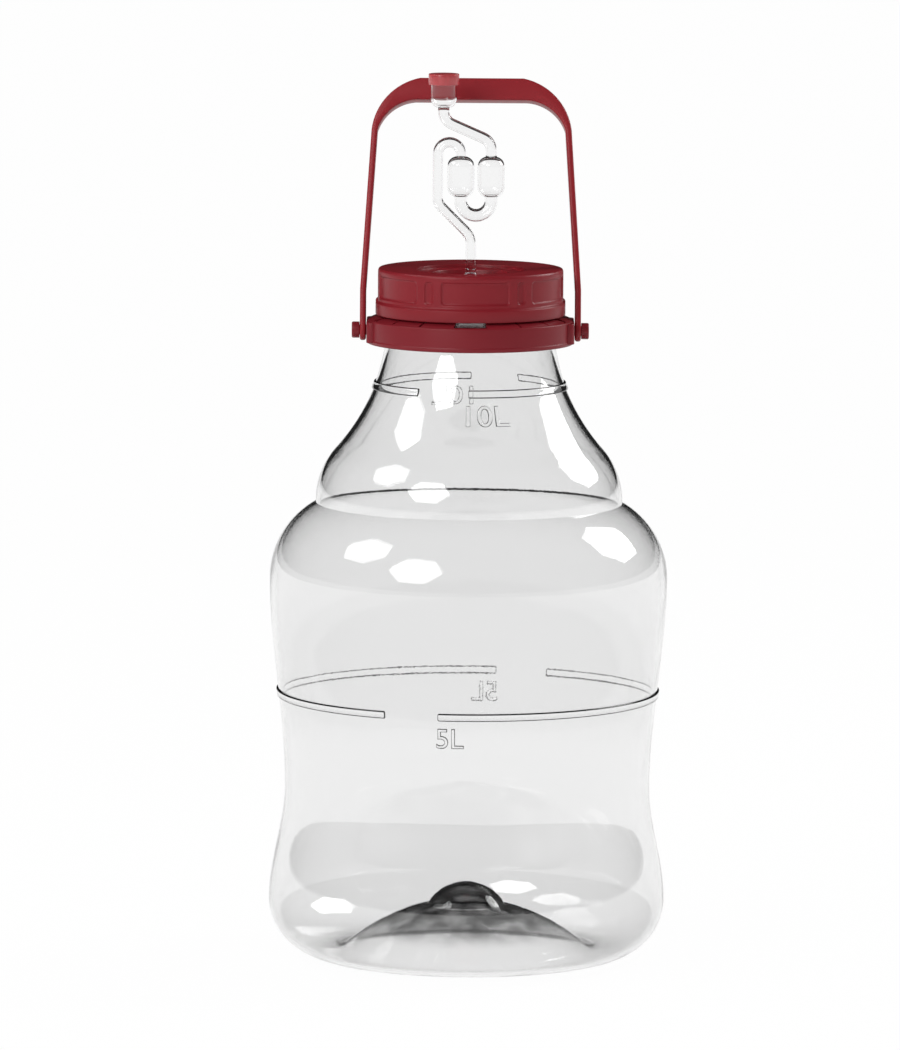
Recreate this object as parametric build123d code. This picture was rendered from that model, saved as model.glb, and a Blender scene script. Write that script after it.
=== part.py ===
from build123d import *
import math
import os

os.makedirs("parts", exist_ok=True)

# Lengths are in millimetres. The origin is the centre of the base, +Z is up,
# -Y is the front and the carrying handle's pivots lie on the X axis.
full_turn = 360.0
half_turn = 180.0
quarter_turn = 90.0
front_angle = -90.0

# How far a cutting shape runs past what it cuts, and the middle of a quarter round
overrun = 5.0
corner_share = math.sqrt(0.5)

# Jar body: radii from the axis, heights above the table
wall = 2.0
foot_r = 113.3
foot_round_r = 33.0
waist_r = 104.4
waist_z = 97.4
belly_r = 113.6
belly_z = 217.4
shoulder_round_r = 49.2
crease_r = 87.5
crease_lip = 1.6
bulge_round_r = 44.0

# Underside of the jar: a flat contact ring, a hollow dome and a small dome on it
contact_in_r = 74.0
punt_r = 69.0
punt_z = 3.0
punt_bulge = 3.0
dome_r = 22.0
dome_z = 27.0
dome_rise = 12.5

# Neck finish, with heights measured down from the rim
rim_z = 388.5
neck_r = 47.5
neck_wall = 3.0
neck_drop = 21.1
rim_out = 0.4
rim_round = 0.8
lip_h = 2.6
bead_drop = 15.3
bead_out = 3.8
bead_half = 2.2

# Screw thread: four right-hand ridges on the neck and four in the lid
thread_starts = 4
thread_lead = 24.0
thread_out = 2.1
thread_root_w = 3.0
thread_tip_w = 1.8
thread_turn = 95.0
thread_first_angle = -62.5
thread_drop = 11.1
lid_thread_in = 1.75
lid_thread_root_w = 2.6
lid_thread_tip_w = 1.6
lid_thread_turn = 60.0
weld = 0.4

# Volume marks: raised bands with a gap at the front and at the back
band_h = 4.4
band_out = 0.9
upper_band_z = 326.3
upper_gap_from = -32.0
upper_gap_to = -1.0
lower_band_z = 149.6
lower_gap_from = -25.4
lower_gap_to = -9.0

# Carrying ring under the neck bead
ring_h = 15.8
ring_top_gap = 0.1
ring_fit = 0.5
ring_skirt_out = 7.4
ring_lip_out = 0.25
ring_lip_h = 2.0
ring_lip_slope = 0.6
ring_wall = 2.2
ring_collar = 2.3
ring_step_h = 2.8
ring_cone_drop = 2.4
ring_cone_run = 2.8
ring_channel_drop = 4.4
slit_w = 1.1
notch_w = 4.0
window_w = 18.0
slit_angles = [30.0, 50.0, 130.0, 150.0]
notch_angles = [70.0, 110.0]
ear_half_w = 20.0
ear_out = 0.4
ear_h = 11.8
ear_rise = 1.2
ear_round = 3.0

# Handle pivots and rivet-like pins
pivot_rise = 7.1
pin_r = 2.9
pin_fit = 0.05
pin_seat_fit = 0.03
pin_depth = 6.0
pin_head_r = 4.65
pin_head_t = 4.4
pin_head_round = 0.6
leg_gap = 0.35
pin_gap = 0.2

# Handle: a flat bow that leans back from upright at rest
handle_lean = 15.0
leg_t = 3.5
leg_top_t = 3.6
leg_w = 12.0
leg_lean_in = 5.8
handle_rise = 145.2
grip_h = 12.7
grip_half = 29.6
grip_inner_half = 32.0
corner_drop = 30.0
outer_bend_shares = [0.62, 0.30]
inner_bend_shares = [0.72, 0.58]

# Screw lid with a sunk middle and a well for the bung
seal_t = 3.2
seal_in_r = 42.5
seal_w = 6.1
lid_top_t = 3.4
lid_h = 26.4
lid_wall = 2.8
lid_bore_fit = 0.4
lid_bead_fit = 0.5
lid_flange_h = 7.5
lid_flange_t = 2.3
lid_step_h = 7.4
lid_crown_h = 2.0
lid_crown_in = 1.1
dish_r = 30.7
dish_depth = 2.7
dish_t = 2.4
well_r = 22.0
well_depth = 9.0
well_draft = 0.5
panel_count = 6
panel_depth = 0.9
panel_rise = 9.4
panel_top_drop = 3.4
panel_first_angle = 3.0
wide_panel_turn = 44.0
narrow_panel_turn = 6.2

# Bung, from its top down
bung_top_r = 5.7
bung_collar_r = 7.65
bung_collar_h = 4.0
bung_collar_edge = 1.0
bung_groove_r = 6.1
bung_hole_fit = 0.1
bung_flange_r = 8.95
bung_flange_h = 0.9
bung_tail_r = 6.1
bung_tail_h = 6.4
bung_bore_fit = 0.05

# Airlock: heights above the underside of its stop collar, x from the stem's axis
air_wall = 1.0
tip_r = 2.35
tip_h = 4.2
stop_r = 3.75
stop_top_r = 3.1
stop_h = 2.3
leg_tube_r = 2.95
stem_bend_z = 22.9
leg_bend_z = 42.0
leg_tube_x = -19.1
arch_z = 70.2
bulb_low_z = 45.6
bulb_high_z = 68.6
bulb_r = 7.75
bulb_round = 5.6
left_bulb_x = -6.05
right_bulb_x = 11.2
bend_tube_r = 3.7
trap_z = 43.7
top_tube_r = 3.2
cup_x = -16.0
right_knee_z = 77.3
cup_knee_z = 89.2
cup_low_z = 96.5
cup_side_z = 102.5
cup_r = 7.5
cup_neck_r = 3.5
cup_rim_z = 114.5
cup_rim_r = 8.0
cup_rim_h = 0.9
knee_round = 8.0
stem_round = 12.0

# Cap of the airlock
cap_r = 8.75
cap_h = 6.2
cap_top_t = 1.2
cap_fit = 0.3
cap_round = 0.5

# Places that follow from the sizes above
bead_z = rim_z - bead_drop
bead_r = neck_r + bead_out
bore_r = neck_r - neck_wall
ring_skirt_r = bead_r + ring_skirt_out
neck_foot_z = rim_z - neck_drop
shoulder_center = (belly_r - shoulder_round_r, belly_z)
crease_z = belly_z + math.sqrt(shoulder_round_r ** 2 - (crease_r - shoulder_center[0]) ** 2)
bulge_z = crease_z + crease_lip
bulge_center = (crease_r - bulge_round_r, bulge_z)
flare_run = neck_r - bulge_center[0]
flare_rise = neck_foot_z - bulge_z
flare_round_r = (flare_run ** 2 + flare_rise ** 2 - bulge_round_r ** 2) / (2 * (bulge_round_r - flare_run))
flare_center = (neck_r + flare_round_r, neck_foot_z)
meet_angle = math.degrees(math.atan2(flare_rise, flare_center[0] - bulge_center[0]))
ring_top_z = bead_z - bead_half - ring_top_gap
ring_low_z = ring_top_z - ring_step_h - ring_h
pivot_z = ring_low_z + pivot_rise
ear_x = ring_skirt_r + ear_out
leg_in_x = ear_x + leg_gap
leg_out_x = leg_in_x + leg_t
lid_top_z = rim_z + seal_t + lid_top_t
lid_low_z = lid_top_z - lid_h
lid_bore_r = neck_r + thread_out + lid_bore_fit
lid_r = lid_bore_r + lid_wall
thread_z = rim_z - thread_drop
well_floor_z = lid_top_z - well_depth
bung_top_z = well_floor_z + bung_collar_h
stop_z = bung_top_z


# The point at an angle on a circle about a centre
def around(center, radius, angle):
    turn = math.radians(angle)
    return (center[0] + radius * math.cos(turn), center[1] + radius * math.sin(turn))


# A round stretch of an outline
def arc_about(center, radius, start, end):
    middle = around(center, radius, (start + end) / 2)
    return ThreePointArc(around(center, radius, start), middle, around(center, radius, end))


# An arc from one point to another that stands out from the chord on its left
def bowed(start, end, rise):
    run_x, run_z = end[0] - start[0], end[1] - start[1]
    length = math.hypot(run_x, run_z)
    middle = ((start[0] + end[0]) / 2 - run_z / length * rise,
              (start[1] + end[1]) / 2 + run_x / length * rise)
    return ThreePointArc(start, middle, end)


# A closed outline of straight sides
def straight_sides(points):
    return [Polyline(*points, close=True)]


# An outline of radius and height turned once round the axis
def spun(edges):
    return revolve(Plane.XZ * make_face(edges), Axis.Z)


# The same over part of a turn, with angles measured from the front
def spun_sector(edges, start, end):
    solid = revolve(Plane.XZ * make_face(edges), Axis.Z, end - start)
    return Rot(0, 0, front_angle + start) * solid


# An upright rod that stands on height zero
def upright_rod(rod_r, height):
    return Cylinder(rod_r, height, align=(Align.CENTER, Align.CENTER, Align.MIN))


# One thread ridge that climbs anticlockwise from angle zero and height zero
def ridge(root_r, tip_r, root_w, tip_w, turn):
    path = Helix(pitch=thread_lead, height=thread_lead * turn / full_turn, radius=root_r)
    start = Plane(origin=path @ 0, x_dir=(1, 0, 0), z_dir=path % 0)
    rise = tip_r - root_r
    sunk = -weld if rise > 0 else weld
    outline = Polyline((sunk, -root_w / 2), (rise, -tip_w / 2), (rise, tip_w / 2), (sunk, root_w / 2),
                       close=True)
    return sweep(start * make_face(outline), path, is_frenet=True)


# The set of ridges, evenly spaced, with the first at the given angle and height
def thread(one, first_angle, z):
    step = full_turn / thread_starts
    return [Pos(0, 0, z) * Rot(0, 0, first_angle + step * number) * one for number in range(thread_starts)]


# The gently swelling side of the jar between two heights
def swell(low_r, low_z, high_r, high_z):
    third = (high_z - low_z) / 3
    return Bezier((low_r, low_z), (low_r, low_z + third), (high_r, high_z - third), (high_r, high_z))


# Radius of the jar's side at a height between the waist and the belly
def side_radius(z):
    share = (z - waist_z) / (belly_z - waist_z)
    return waist_r + (belly_r - waist_r) * share * share * (3 - 2 * share)


# Radius of the jar at a height on the flare under the neck
def flare_radius(z):
    drop = neck_foot_z - z
    return flare_center[0] - math.sqrt(flare_round_r ** 2 - drop ** 2)


# The jar's side from its foot to its neck, moved inwards by the inset
def side_line(inset):
    round_r = shoulder_round_r - inset
    crease_angle = math.degrees(math.acos((crease_r - inset - shoulder_center[0]) / round_r))
    crease = around(shoulder_center, round_r, crease_angle)
    return [
        arc_about((foot_r - foot_round_r, foot_round_r), foot_round_r - inset, -quarter_turn, 0),
        swell(foot_r - inset, foot_round_r, waist_r - inset, waist_z),
        swell(waist_r - inset, waist_z, belly_r - inset, belly_z),
        arc_about(shoulder_center, round_r, 0, crease_angle),
        Line(crease, (crease_r - inset, bulge_z)),
        arc_about(bulge_center, bulge_round_r - inset, 0, meet_angle),
        arc_about(flare_center, flare_round_r + inset, half_turn + meet_angle, half_turn),
    ]


# The jar's base from the axis to the foot, lifted by a height
def base_line(lift):
    dome_sphere_r = (dome_r ** 2 + dome_rise ** 2) / (2 * dome_rise)
    dome_center = (0, dome_z + dome_rise - dome_sphere_r + lift)
    dome_edge = (dome_r, dome_z + lift)
    dome_angle = math.degrees(math.atan2(dome_edge[1] - dome_center[1], dome_r))
    punt_edge = (punt_r, punt_z + lift)
    contact_edge = (contact_in_r, lift)
    return [
        arc_about(dome_center, dome_sphere_r, quarter_turn, dome_angle),
        bowed(dome_edge, punt_edge, punt_bulge),
        Line(punt_edge, contact_edge),
        Line(contact_edge, (foot_r - foot_round_r, lift)),
    ]


# The neck's finish: bead, thread zone, rim and bore
def finish_line():
    bead_low, bead_high = bead_z - bead_half, bead_z + bead_half
    bead_center = (bead_r - bead_half, bead_z)
    rim_r = neck_r + rim_out
    lip_z = rim_z - lip_h
    crown_z = rim_z - rim_round
    return [
        Polyline((neck_r, neck_foot_z), (neck_r, bead_low), (bead_center[0], bead_low)),
        arc_about(bead_center, bead_half, -quarter_turn, quarter_turn),
        Polyline((bead_center[0], bead_high), (neck_r, bead_high), (neck_r, lip_z),
                 (rim_r, lip_z + rim_out), (rim_r, crown_z)),
        arc_about((rim_r - rim_round, crown_z), rim_round, 0, quarter_turn),
        Line((rim_r - rim_round, rim_z), (bore_r + rim_round, rim_z)),
        arc_about((bore_r + rim_round, crown_z), rim_round, quarter_turn, half_turn),
        Line((bore_r, crown_z), (neck_r - wall, neck_foot_z)),
    ]


# A raised band on the jar that stops short of a gap at the front and at the back
def volume_band(low_z, radius_at, gap_from, gap_to):
    high_z = low_z + band_h
    low_r, high_r = radius_at(low_z), radius_at(high_z)
    outline = straight_sides([
        (low_r - weld, low_z), (low_r + band_out, low_z),
        (high_r + band_out, high_z), (high_r - weld, high_z),
    ])
    half = spun_sector(outline, gap_to, half_turn + gap_from)
    return [half, Rot(0, 0, half_turn) * half]


def make_jar():
    axis_line = Line((0, dome_z + dome_rise), (0, dome_z + dome_rise + wall))
    outline = base_line(0) + side_line(0) + finish_line() + side_line(wall) + base_line(wall) + [axis_line]
    jar = spun(outline)
    one = ridge(neck_r, neck_r + thread_out, thread_root_w, thread_tip_w, thread_turn)
    jar = jar.fuse(*thread(one, thread_first_angle, thread_z))
    jar = jar.fuse(*volume_band(upper_band_z, flare_radius, upper_gap_from, upper_gap_to))
    return jar.fuse(*volume_band(lower_band_z, side_radius, lower_gap_from, lower_gap_to))


# The carrying ring's cross-section without its hollow
def ring_section():
    cone_z = ring_top_z - ring_step_h
    cone_low_z = cone_z - ring_cone_drop
    lip_r = ring_skirt_r + ring_lip_out
    lip_z = ring_low_z + ring_lip_h
    step_r = bead_r - ring_fit
    bend_r = ring_skirt_r - ring_cone_run
    return straight_sides([
        (flare_radius(ring_low_z) + ring_fit, ring_low_z), (lip_r, ring_low_z), (lip_r, lip_z),
        (ring_skirt_r, lip_z + ring_lip_slope), (ring_skirt_r, cone_low_z),
        (bend_r, cone_z - ring_cone_drop / 2), (step_r + ring_fit, cone_z),
        (step_r, ring_top_z), (neck_r + ring_fit, ring_top_z),
    ])


# The ring's hollow between its outer skirt and its inner collar, open below
def ring_hollow():
    collar_r = flare_radius(ring_low_z) + ring_fit + ring_collar
    roof_z = ring_top_z - ring_channel_drop
    skirt_in_r = ring_skirt_r - ring_wall
    low_z = ring_low_z - overrun
    return straight_sides([
        (collar_r, low_z), (skirt_in_r, low_z), (skirt_in_r, roof_z - ring_wall), (collar_r, roof_z),
    ])


# A cutter that opens the ring's cone and collar at an angle from the front
def ring_cut(width, angle, depth):
    reach = ring_skirt_r - ring_wall / 2
    block = Pos(reach / 2, 0, ring_top_z - depth / 2) * Box(reach, width, depth)
    return Rot(0, 0, front_angle + angle) * block


# A flat ear at the end of the ring that faces the handle's leg
def ring_ear():
    depth = ear_x - bore_r
    ear = Pos(ear_x - depth / 2, 0, ring_low_z + ear_rise + ear_h / 2) * Box(depth, 2 * ear_half_w, ear_h)
    ear = fillet(ear.edges().filter_by(Axis.Z).group_by(Axis.X)[-1], ear_round)
    inside = Pos(0, 0, ring_low_z) * Cylinder(flare_radius(ring_low_z) + ring_fit + ring_collar, 2 * ring_h)
    return ear - inside


def make_carry_ring():
    ring = spun(ring_section()) - spun(ring_hollow())
    step_depth = ring_step_h + ring_cone_drop
    cuts = [ring_cut(slit_w, side + angle, step_depth) for side in (0, half_turn) for angle in slit_angles]
    cuts += [ring_cut(notch_w, side + angle, step_depth) for side in (0, half_turn) for angle in notch_angles]
    cuts += [ring_cut(window_w, side, step_depth) for side in (0, half_turn)]
    ring = ring.cut(*cuts)
    ring = ring.fuse(ring_ear(), Rot(0, 0, half_turn) * ring_ear())
    across = Pos(0, 0, pivot_z) * Rot(0, quarter_turn, 0)
    hole = across * Cylinder(pin_r + pin_seat_fit, 2 * (ear_x + overrun))
    core = across * Cylinder(pin_r + overrun, 2 * (ear_x - pin_depth))
    return ring - (hole - core)


# A headed pin that holds one leg of the handle to the ring
def make_pin(side):
    head_x = leg_out_x + pin_gap
    tail_x = ear_x - pin_depth
    along = Rot(0, quarter_turn, 0)
    head = Pos(head_x, 0, pivot_z) * along * upright_rod(pin_head_r, pin_head_t)
    head = fillet(head.edges().group_by(Axis.X)[-1], pin_head_round)
    shank = Pos(tail_x, 0, pivot_z) * along * upright_rod(pin_r, head_x - tail_x)
    pin = head.fuse(shank)
    return pin if side > 0 else Rot(0, 0, half_turn) * pin


# The handle's outline seen from the front, from the foot of one leg to the other
def handle_front():
    top_z = pivot_z + handle_rise
    low_z = pivot_z - leg_w / 2
    straight_z = pivot_z + ear_half_w + ear_round
    corner_z = top_z - corner_drop
    out_x, in_x = leg_out_x - leg_lean_in, leg_out_x - leg_lean_in - leg_top_t
    inner_z = top_z - grip_h
    outer_mid = (grip_half + (out_x - grip_half) * outer_bend_shares[0],
                 top_z - corner_drop * outer_bend_shares[1])
    inner_mid = (grip_inner_half + (in_x - grip_inner_half) * inner_bend_shares[0],
                 corner_z + (inner_z - corner_z) * inner_bend_shares[1])
    half = [
        Line((0, top_z), (grip_half, top_z)),
        ThreePointArc((grip_half, top_z), outer_mid, (out_x, corner_z)),
        Polyline((out_x, corner_z), (leg_out_x, straight_z), (leg_out_x, low_z), (leg_in_x, low_z),
                 (leg_in_x, straight_z), (in_x, corner_z)),
        ThreePointArc((in_x, corner_z), inner_mid, (grip_inner_half, inner_z)),
        Polyline((grip_inner_half, inner_z), (0, inner_z), (0, top_z)),
    ]
    face = make_face(half)
    return face + mirror(face, Plane.YZ)


def make_handle():
    blank = extrude(Plane.XZ * handle_front(), leg_w / 2, both=True)
    side = Rectangle(leg_w, handle_rise, align=(Align.CENTER, Align.MIN)) + Circle(leg_w / 2)
    side_block = Pos(0, 0, pivot_z) * extrude(Plane.YZ * side, leg_out_x + overrun, both=True)
    hole = Pos(0, 0, pivot_z) * Rot(0, quarter_turn, 0) * Cylinder(pin_r + pin_fit, 2 * (leg_out_x + overrun))
    bow = (blank & side_block) - hole
    pivot = Axis((0, 0, pivot_z), (1, 0, 0))
    return bow.rotate(pivot, -handle_lean)


# The lid's cross-section: crown, sunk middle, well with the bung's hole, bore and flange
def lid_section():
    flange_r = bead_r + lid_bead_fit + lid_flange_t
    flange_z = lid_low_z + lid_flange_h
    top_r = lid_r - lid_crown_in
    crown_z = lid_top_z - lid_crown_h
    dish_z = lid_top_z - dish_depth
    floor_r = well_r - well_draft
    under_z = well_floor_z - dish_t
    seat_z = rim_z + seal_t
    hole_r = bung_groove_r + bung_hole_fit
    step_z = lid_low_z + lid_step_h
    bead_bore_r = bead_r + lid_bead_fit
    crown = ThreePointArc(
        (lid_r, crown_z),
        (top_r + lid_crown_in * corner_share, crown_z + lid_crown_h * corner_share),
        (top_r, lid_top_z),
    )
    inside = Polyline(
        (top_r, lid_top_z), (dish_r, lid_top_z), (dish_r, dish_z), (well_r, dish_z), (floor_r, well_floor_z),
        (hole_r, well_floor_z), (hole_r, under_z), (floor_r + dish_t, under_z),
        (well_r + dish_t, dish_z - dish_t), (dish_r + dish_t, dish_z - dish_t), (dish_r + dish_t, seat_z),
        (lid_bore_r, seat_z), (lid_bore_r, step_z), (bead_bore_r, step_z - lid_bead_fit),
        (bead_bore_r, lid_low_z), (flange_r, lid_low_z), (flange_r, flange_z - lid_crown_in),
        (lid_r, flange_z), (lid_r, crown_z),
    )
    return [crown, inside]


# The shallow panels round the lid's side, a wide one and a narrow one in each sixth
def lid_panels():
    low_z, high_z = lid_low_z + panel_rise, lid_top_z - panel_top_drop
    in_r, out_r = lid_r - panel_depth, lid_r + panel_depth
    outline = straight_sides([(in_r, low_z), (out_r, low_z), (out_r, high_z), (in_r, high_z)])
    panels = []
    step = full_turn / panel_count
    for number in range(panel_count):
        middle = panel_first_angle + step * number
        panels.append(spun_sector(outline, middle - narrow_panel_turn / 2, middle + narrow_panel_turn / 2))
        middle += step / 2
        panels.append(spun_sector(outline, middle - wide_panel_turn / 2, middle + wide_panel_turn / 2))
    return panels


def make_lid():
    lid = spun(lid_section()).cut(*lid_panels())
    one = ridge(lid_bore_r, lid_bore_r - lid_thread_in, lid_thread_root_w, lid_thread_tip_w, lid_thread_turn)
    half_pitch_turn = half_turn / thread_starts
    return lid.fuse(*thread(one, thread_first_angle + half_pitch_turn, thread_z))


def make_lid_seal():
    out_r = seal_in_r + seal_w
    return spun(straight_sides([
        (seal_in_r, rim_z), (out_r, rim_z), (out_r, rim_z + seal_t), (seal_in_r, rim_z + seal_t),
    ]))


# A soft bung with a groove that holds the well's floor
def make_bung():
    bore = tip_r + bung_bore_fit
    floor_low_z = well_floor_z - dish_t
    tail_z = floor_low_z - bung_flange_h
    end_z = tail_z - bung_tail_h
    return spun(straight_sides([
        (bore, bung_top_z), (bung_top_r, bung_top_z), (bung_collar_r, well_floor_z + bung_collar_edge),
        (bung_collar_r, well_floor_z), (bung_groove_r, well_floor_z), (bung_groove_r, floor_low_z),
        (bung_flange_r, floor_low_z), (bung_flange_r, tail_z), (bung_tail_r, tail_z), (bung_tail_r, end_z),
        (bore, end_z),
    ]))


# A round tube along straight runs in the X-Z plane with rounded corners
def bent_tube(points, radii, tube_r):
    path = FilletPolyline(*[(x, 0, z) for x, z in points], radius=radii)
    start = Plane(origin=path @ 0, z_dir=path % 0)
    return sweep(start * Circle(tube_r), path)


# Half a ring of tube that opens upwards or downwards
def half_ring(middle_x, middle_z, bend_r, tube_r, upwards):
    section = Pos(bend_r, 0, 0) * Circle(tube_r)
    ring = revolve(section, Axis.Y, half_turn)
    ring = ring if upwards else Rot(0, half_turn, 0) * ring
    return Pos(middle_x, 0, middle_z) * ring


# A bulb with rounded shoulders about an upright tube
def bulb(x, inset):
    round_r = bulb_round - inset
    low_z, high_z = bulb_low_z + inset, bulb_high_z - inset
    side_r = bulb_r - inset
    flat_r = side_r - round_r
    outline = [
        Polyline((0, low_z), (flat_r, low_z)),
        arc_about((flat_r, low_z + round_r), round_r, -quarter_turn, 0),
        Line((side_r, low_z + round_r), (side_r, high_z - round_r)),
        arc_about((flat_r, high_z - round_r), round_r, 0, quarter_turn),
        Polyline((flat_r, high_z), (0, high_z), (0, low_z)),
    ]
    return Pos(x, 0, 0) * spun(outline)


# The airlock's cup without its rim, from its round bottom up
def cup(inset):
    side_r, low_r = cup_r - inset, cup_neck_r - inset
    low_z, high_z = cup_low_z + inset, cup_rim_z + inset
    middle = (low_r + (side_r - low_r) * corner_share, cup_side_z - (cup_side_z - low_z) * corner_share)
    outline = [
        Line((0, low_z), (low_r, low_z)),
        ThreePointArc((low_r, low_z), middle, (side_r, cup_side_z)),
        Polyline((side_r, cup_side_z), (side_r, high_z), (0, high_z), (0, low_z)),
    ]
    return Pos(cup_x, 0, 0) * spun(outline)


# The airlock's tubes and bulbs as solid runs, thinner by the inset, up to the cup's bottom
def airlock_runs(inset):
    overlap = air_wall
    arch_middle = (leg_tube_x + left_bulb_x) / 2
    arch_r = (left_bulb_x - leg_tube_x) / 2
    trap_middle = (left_bulb_x + right_bulb_x) / 2
    trap_r = (right_bulb_x - left_bulb_x) / 2
    top_run = [(cup_x, cup_low_z + inset), (cup_x, cup_knee_z), (right_bulb_x, right_knee_z),
               (right_bulb_x, bulb_high_z - overlap)]
    low_run = [(leg_tube_x, arch_z), (leg_tube_x, leg_bend_z), (0, stem_bend_z), (0, stop_h)]
    trap_neck = upright_rod(bend_tube_r - inset, bulb_low_z + 2 * overlap - trap_z)
    arch_neck = upright_rod(leg_tube_r - inset, arch_z - bulb_high_z + 2 * overlap)
    return [
        bent_tube(top_run, knee_round, top_tube_r - inset),
        bulb(right_bulb_x, inset),
        half_ring(trap_middle, trap_z, trap_r, bend_tube_r - inset, True),
        Pos(left_bulb_x, 0, trap_z) * trap_neck,
        Pos(right_bulb_x, 0, trap_z) * trap_neck,
        bulb(left_bulb_x, inset),
        Pos(left_bulb_x, 0, bulb_high_z - 2 * overlap) * arch_neck,
        half_ring(arch_middle, arch_z, arch_r, leg_tube_r - inset, False),
        bent_tube(low_run, [knee_round, stem_round], leg_tube_r - inset),
    ]


def make_airlock_tube():
    stop = Cone(stop_r, stop_top_r, stop_h, align=(Align.CENTER, Align.CENTER, Align.MIN))
    tip = Pos(0, 0, -tip_h) * upright_rod(tip_r, tip_h)
    outer = stop.fuse(*airlock_runs(0), tip)
    stem_bore = Pos(0, 0, -tip_h - overrun) * upright_rod(tip_r - air_wall, tip_h + overrun + 2 * stop_h)
    inner = stem_bore.fuse(*airlock_runs(air_wall))
    return Pos(0, 0, stop_z) * (outer - inner)


def make_airlock_cup():
    rim = Pos(cup_x, 0, cup_rim_z - cup_rim_h) * upright_rod(cup_rim_r, cup_rim_h)
    way_in = Pos(cup_x, 0, cup_low_z - overrun) * upright_rod(top_tube_r - air_wall, 2 * overrun)
    return Pos(0, 0, stop_z) * (cup(0).fuse(rim) - cup(air_wall) - way_in)


def make_airlock_cap():
    top_z = cup_rim_z + cap_top_t
    low_z = top_z - cap_h
    in_r = cup_rim_r + cap_fit
    shell = spun(straight_sides([
        (0, cup_rim_z), (in_r, cup_rim_z), (in_r, low_z), (cap_r, low_z), (cap_r, top_z - cap_round),
        (cap_r - cap_round, top_z), (0, top_z),
    ]))
    return Pos(cup_x, 0, stop_z) * shell


parts = {
    "jar": make_jar(),
    "carry_ring": make_carry_ring(),
    "pivot_pin_right": make_pin(1),
    "pivot_pin_left": make_pin(-1),
    "handle": make_handle(),
    "lid": make_lid(),
    "lid_seal": make_lid_seal(),
    "bung": make_bung(),
    "airlock_tube": make_airlock_tube(),
    "airlock_cup": make_airlock_cup(),
    "airlock_cap": make_airlock_cap(),
}
for name, shape in parts.items():
    export_step(shape, "parts/" + name + ".step")
    print(name, len(shape.solids()), round(shape.volume))
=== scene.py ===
import bpy
import bmesh
import math
from mathutils import Vector, Matrix


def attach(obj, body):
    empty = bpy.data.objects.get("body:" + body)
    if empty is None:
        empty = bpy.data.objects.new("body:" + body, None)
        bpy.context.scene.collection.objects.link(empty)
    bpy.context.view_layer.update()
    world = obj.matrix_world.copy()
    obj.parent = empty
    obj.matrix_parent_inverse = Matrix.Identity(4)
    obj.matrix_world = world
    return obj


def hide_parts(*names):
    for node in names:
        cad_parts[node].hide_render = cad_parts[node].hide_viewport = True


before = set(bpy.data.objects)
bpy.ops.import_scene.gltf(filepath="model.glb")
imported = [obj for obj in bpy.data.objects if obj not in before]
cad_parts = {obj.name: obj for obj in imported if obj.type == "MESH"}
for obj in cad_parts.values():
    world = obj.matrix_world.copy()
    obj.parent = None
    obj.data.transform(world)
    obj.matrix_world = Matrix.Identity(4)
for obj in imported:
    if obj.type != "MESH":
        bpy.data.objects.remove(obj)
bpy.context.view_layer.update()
mm = 0.001  # sizes are written in millimetres, unless a comment says metres
tiny = 0.01  # a step too small to see: points of an outline that are closer become one
weld = 1e-6  # the same for the points of a mesh, in metres
sharpFrom = 32  # edges that turn by more degrees than this are drawn sharp
print("frame loaded")


# Outline helpers: lists of (radius, height) points in millimetres

def arcPoints(center, radius, start, end, count, growth=0):  # the radius can grow evenly on the way
    points = []
    for step in range(count + 1):
        turn = math.radians(start + (end - start) * step / count)
        reach = radius + growth * step / count
        points.append((center[0] + reach * math.cos(turn), center[1] + reach * math.sin(turn)))
    return points


def swellPoints(low, high, count):  # a side that leaves and arrives upright
    points = []
    for step in range(count + 1):
        t = step / count
        points.append((low[0] + (high[0] - low[0]) * t * t * (3 - 2 * t), low[1] + (high[1] - low[1]) * t))
    return points


def bowPoints(start, end, rise, count):  # an arc that stands out to the left of its chord
    run, climb = end[0] - start[0], end[1] - start[1]
    length = math.hypot(run, climb)
    radius = (length * length / 4 + rise * rise) / (2 * rise)
    middle = ((start[0] + end[0]) / 2, (start[1] + end[1]) / 2)
    center = (middle[0] + climb / length * (radius - rise), middle[1] - run / length * (radius - rise))
    first = math.degrees(math.atan2(start[1] - center[1], start[0] - center[0]))
    last = math.degrees(math.atan2(end[1] - center[1], end[0] - center[0]))
    return arcPoints(center, radius, first, last, count)


def softCorners(corners, count=3):  # corners are (radius, height, rounding)
    points = []
    total = len(corners)
    for index, (x, z, rounding) in enumerate(corners):
        if rounding <= 0:
            points.append((x, z))
            continue
        before, after = corners[index - 1], corners[(index + 1) % total]
        toBefore = Vector((before[0] - x, before[1] - z))
        toAfter = Vector((after[0] - x, after[1] - z))
        angle = toBefore.angle(toAfter)
        reach = min(rounding / math.tan(angle / 2), toBefore.length * 0.49, toAfter.length * 0.49)
        radius = reach * math.tan(angle / 2)
        bisector = (toBefore.normalized() + toAfter.normalized()).normalized()
        center = Vector((x, z)) + bisector * (radius / math.sin(angle / 2))
        first = Vector((x, z)) + toBefore.normalized() * reach - center
        last = Vector((x, z)) + toAfter.normalized() * reach - center
        start = math.atan2(first.y, first.x)
        sweep = (math.atan2(last.y, last.x) - start + math.pi) % (2 * math.pi) - math.pi
        for step in range(count + 1):
            turn = start + sweep * step / count
            points.append((center.x + radius * math.cos(turn), center.y + radius * math.sin(turn)))
    return points


def joinRuns(*runs):  # several stretches as one outline without doubled points
    points = []
    for run in runs:
        for point in run:
            if not points or math.dist(points[-1], point) > tiny:
                points.append(point)
    return points


# Node helpers. One node with its settings: each is an attribute, an input's value or what feeds the input.

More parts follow.
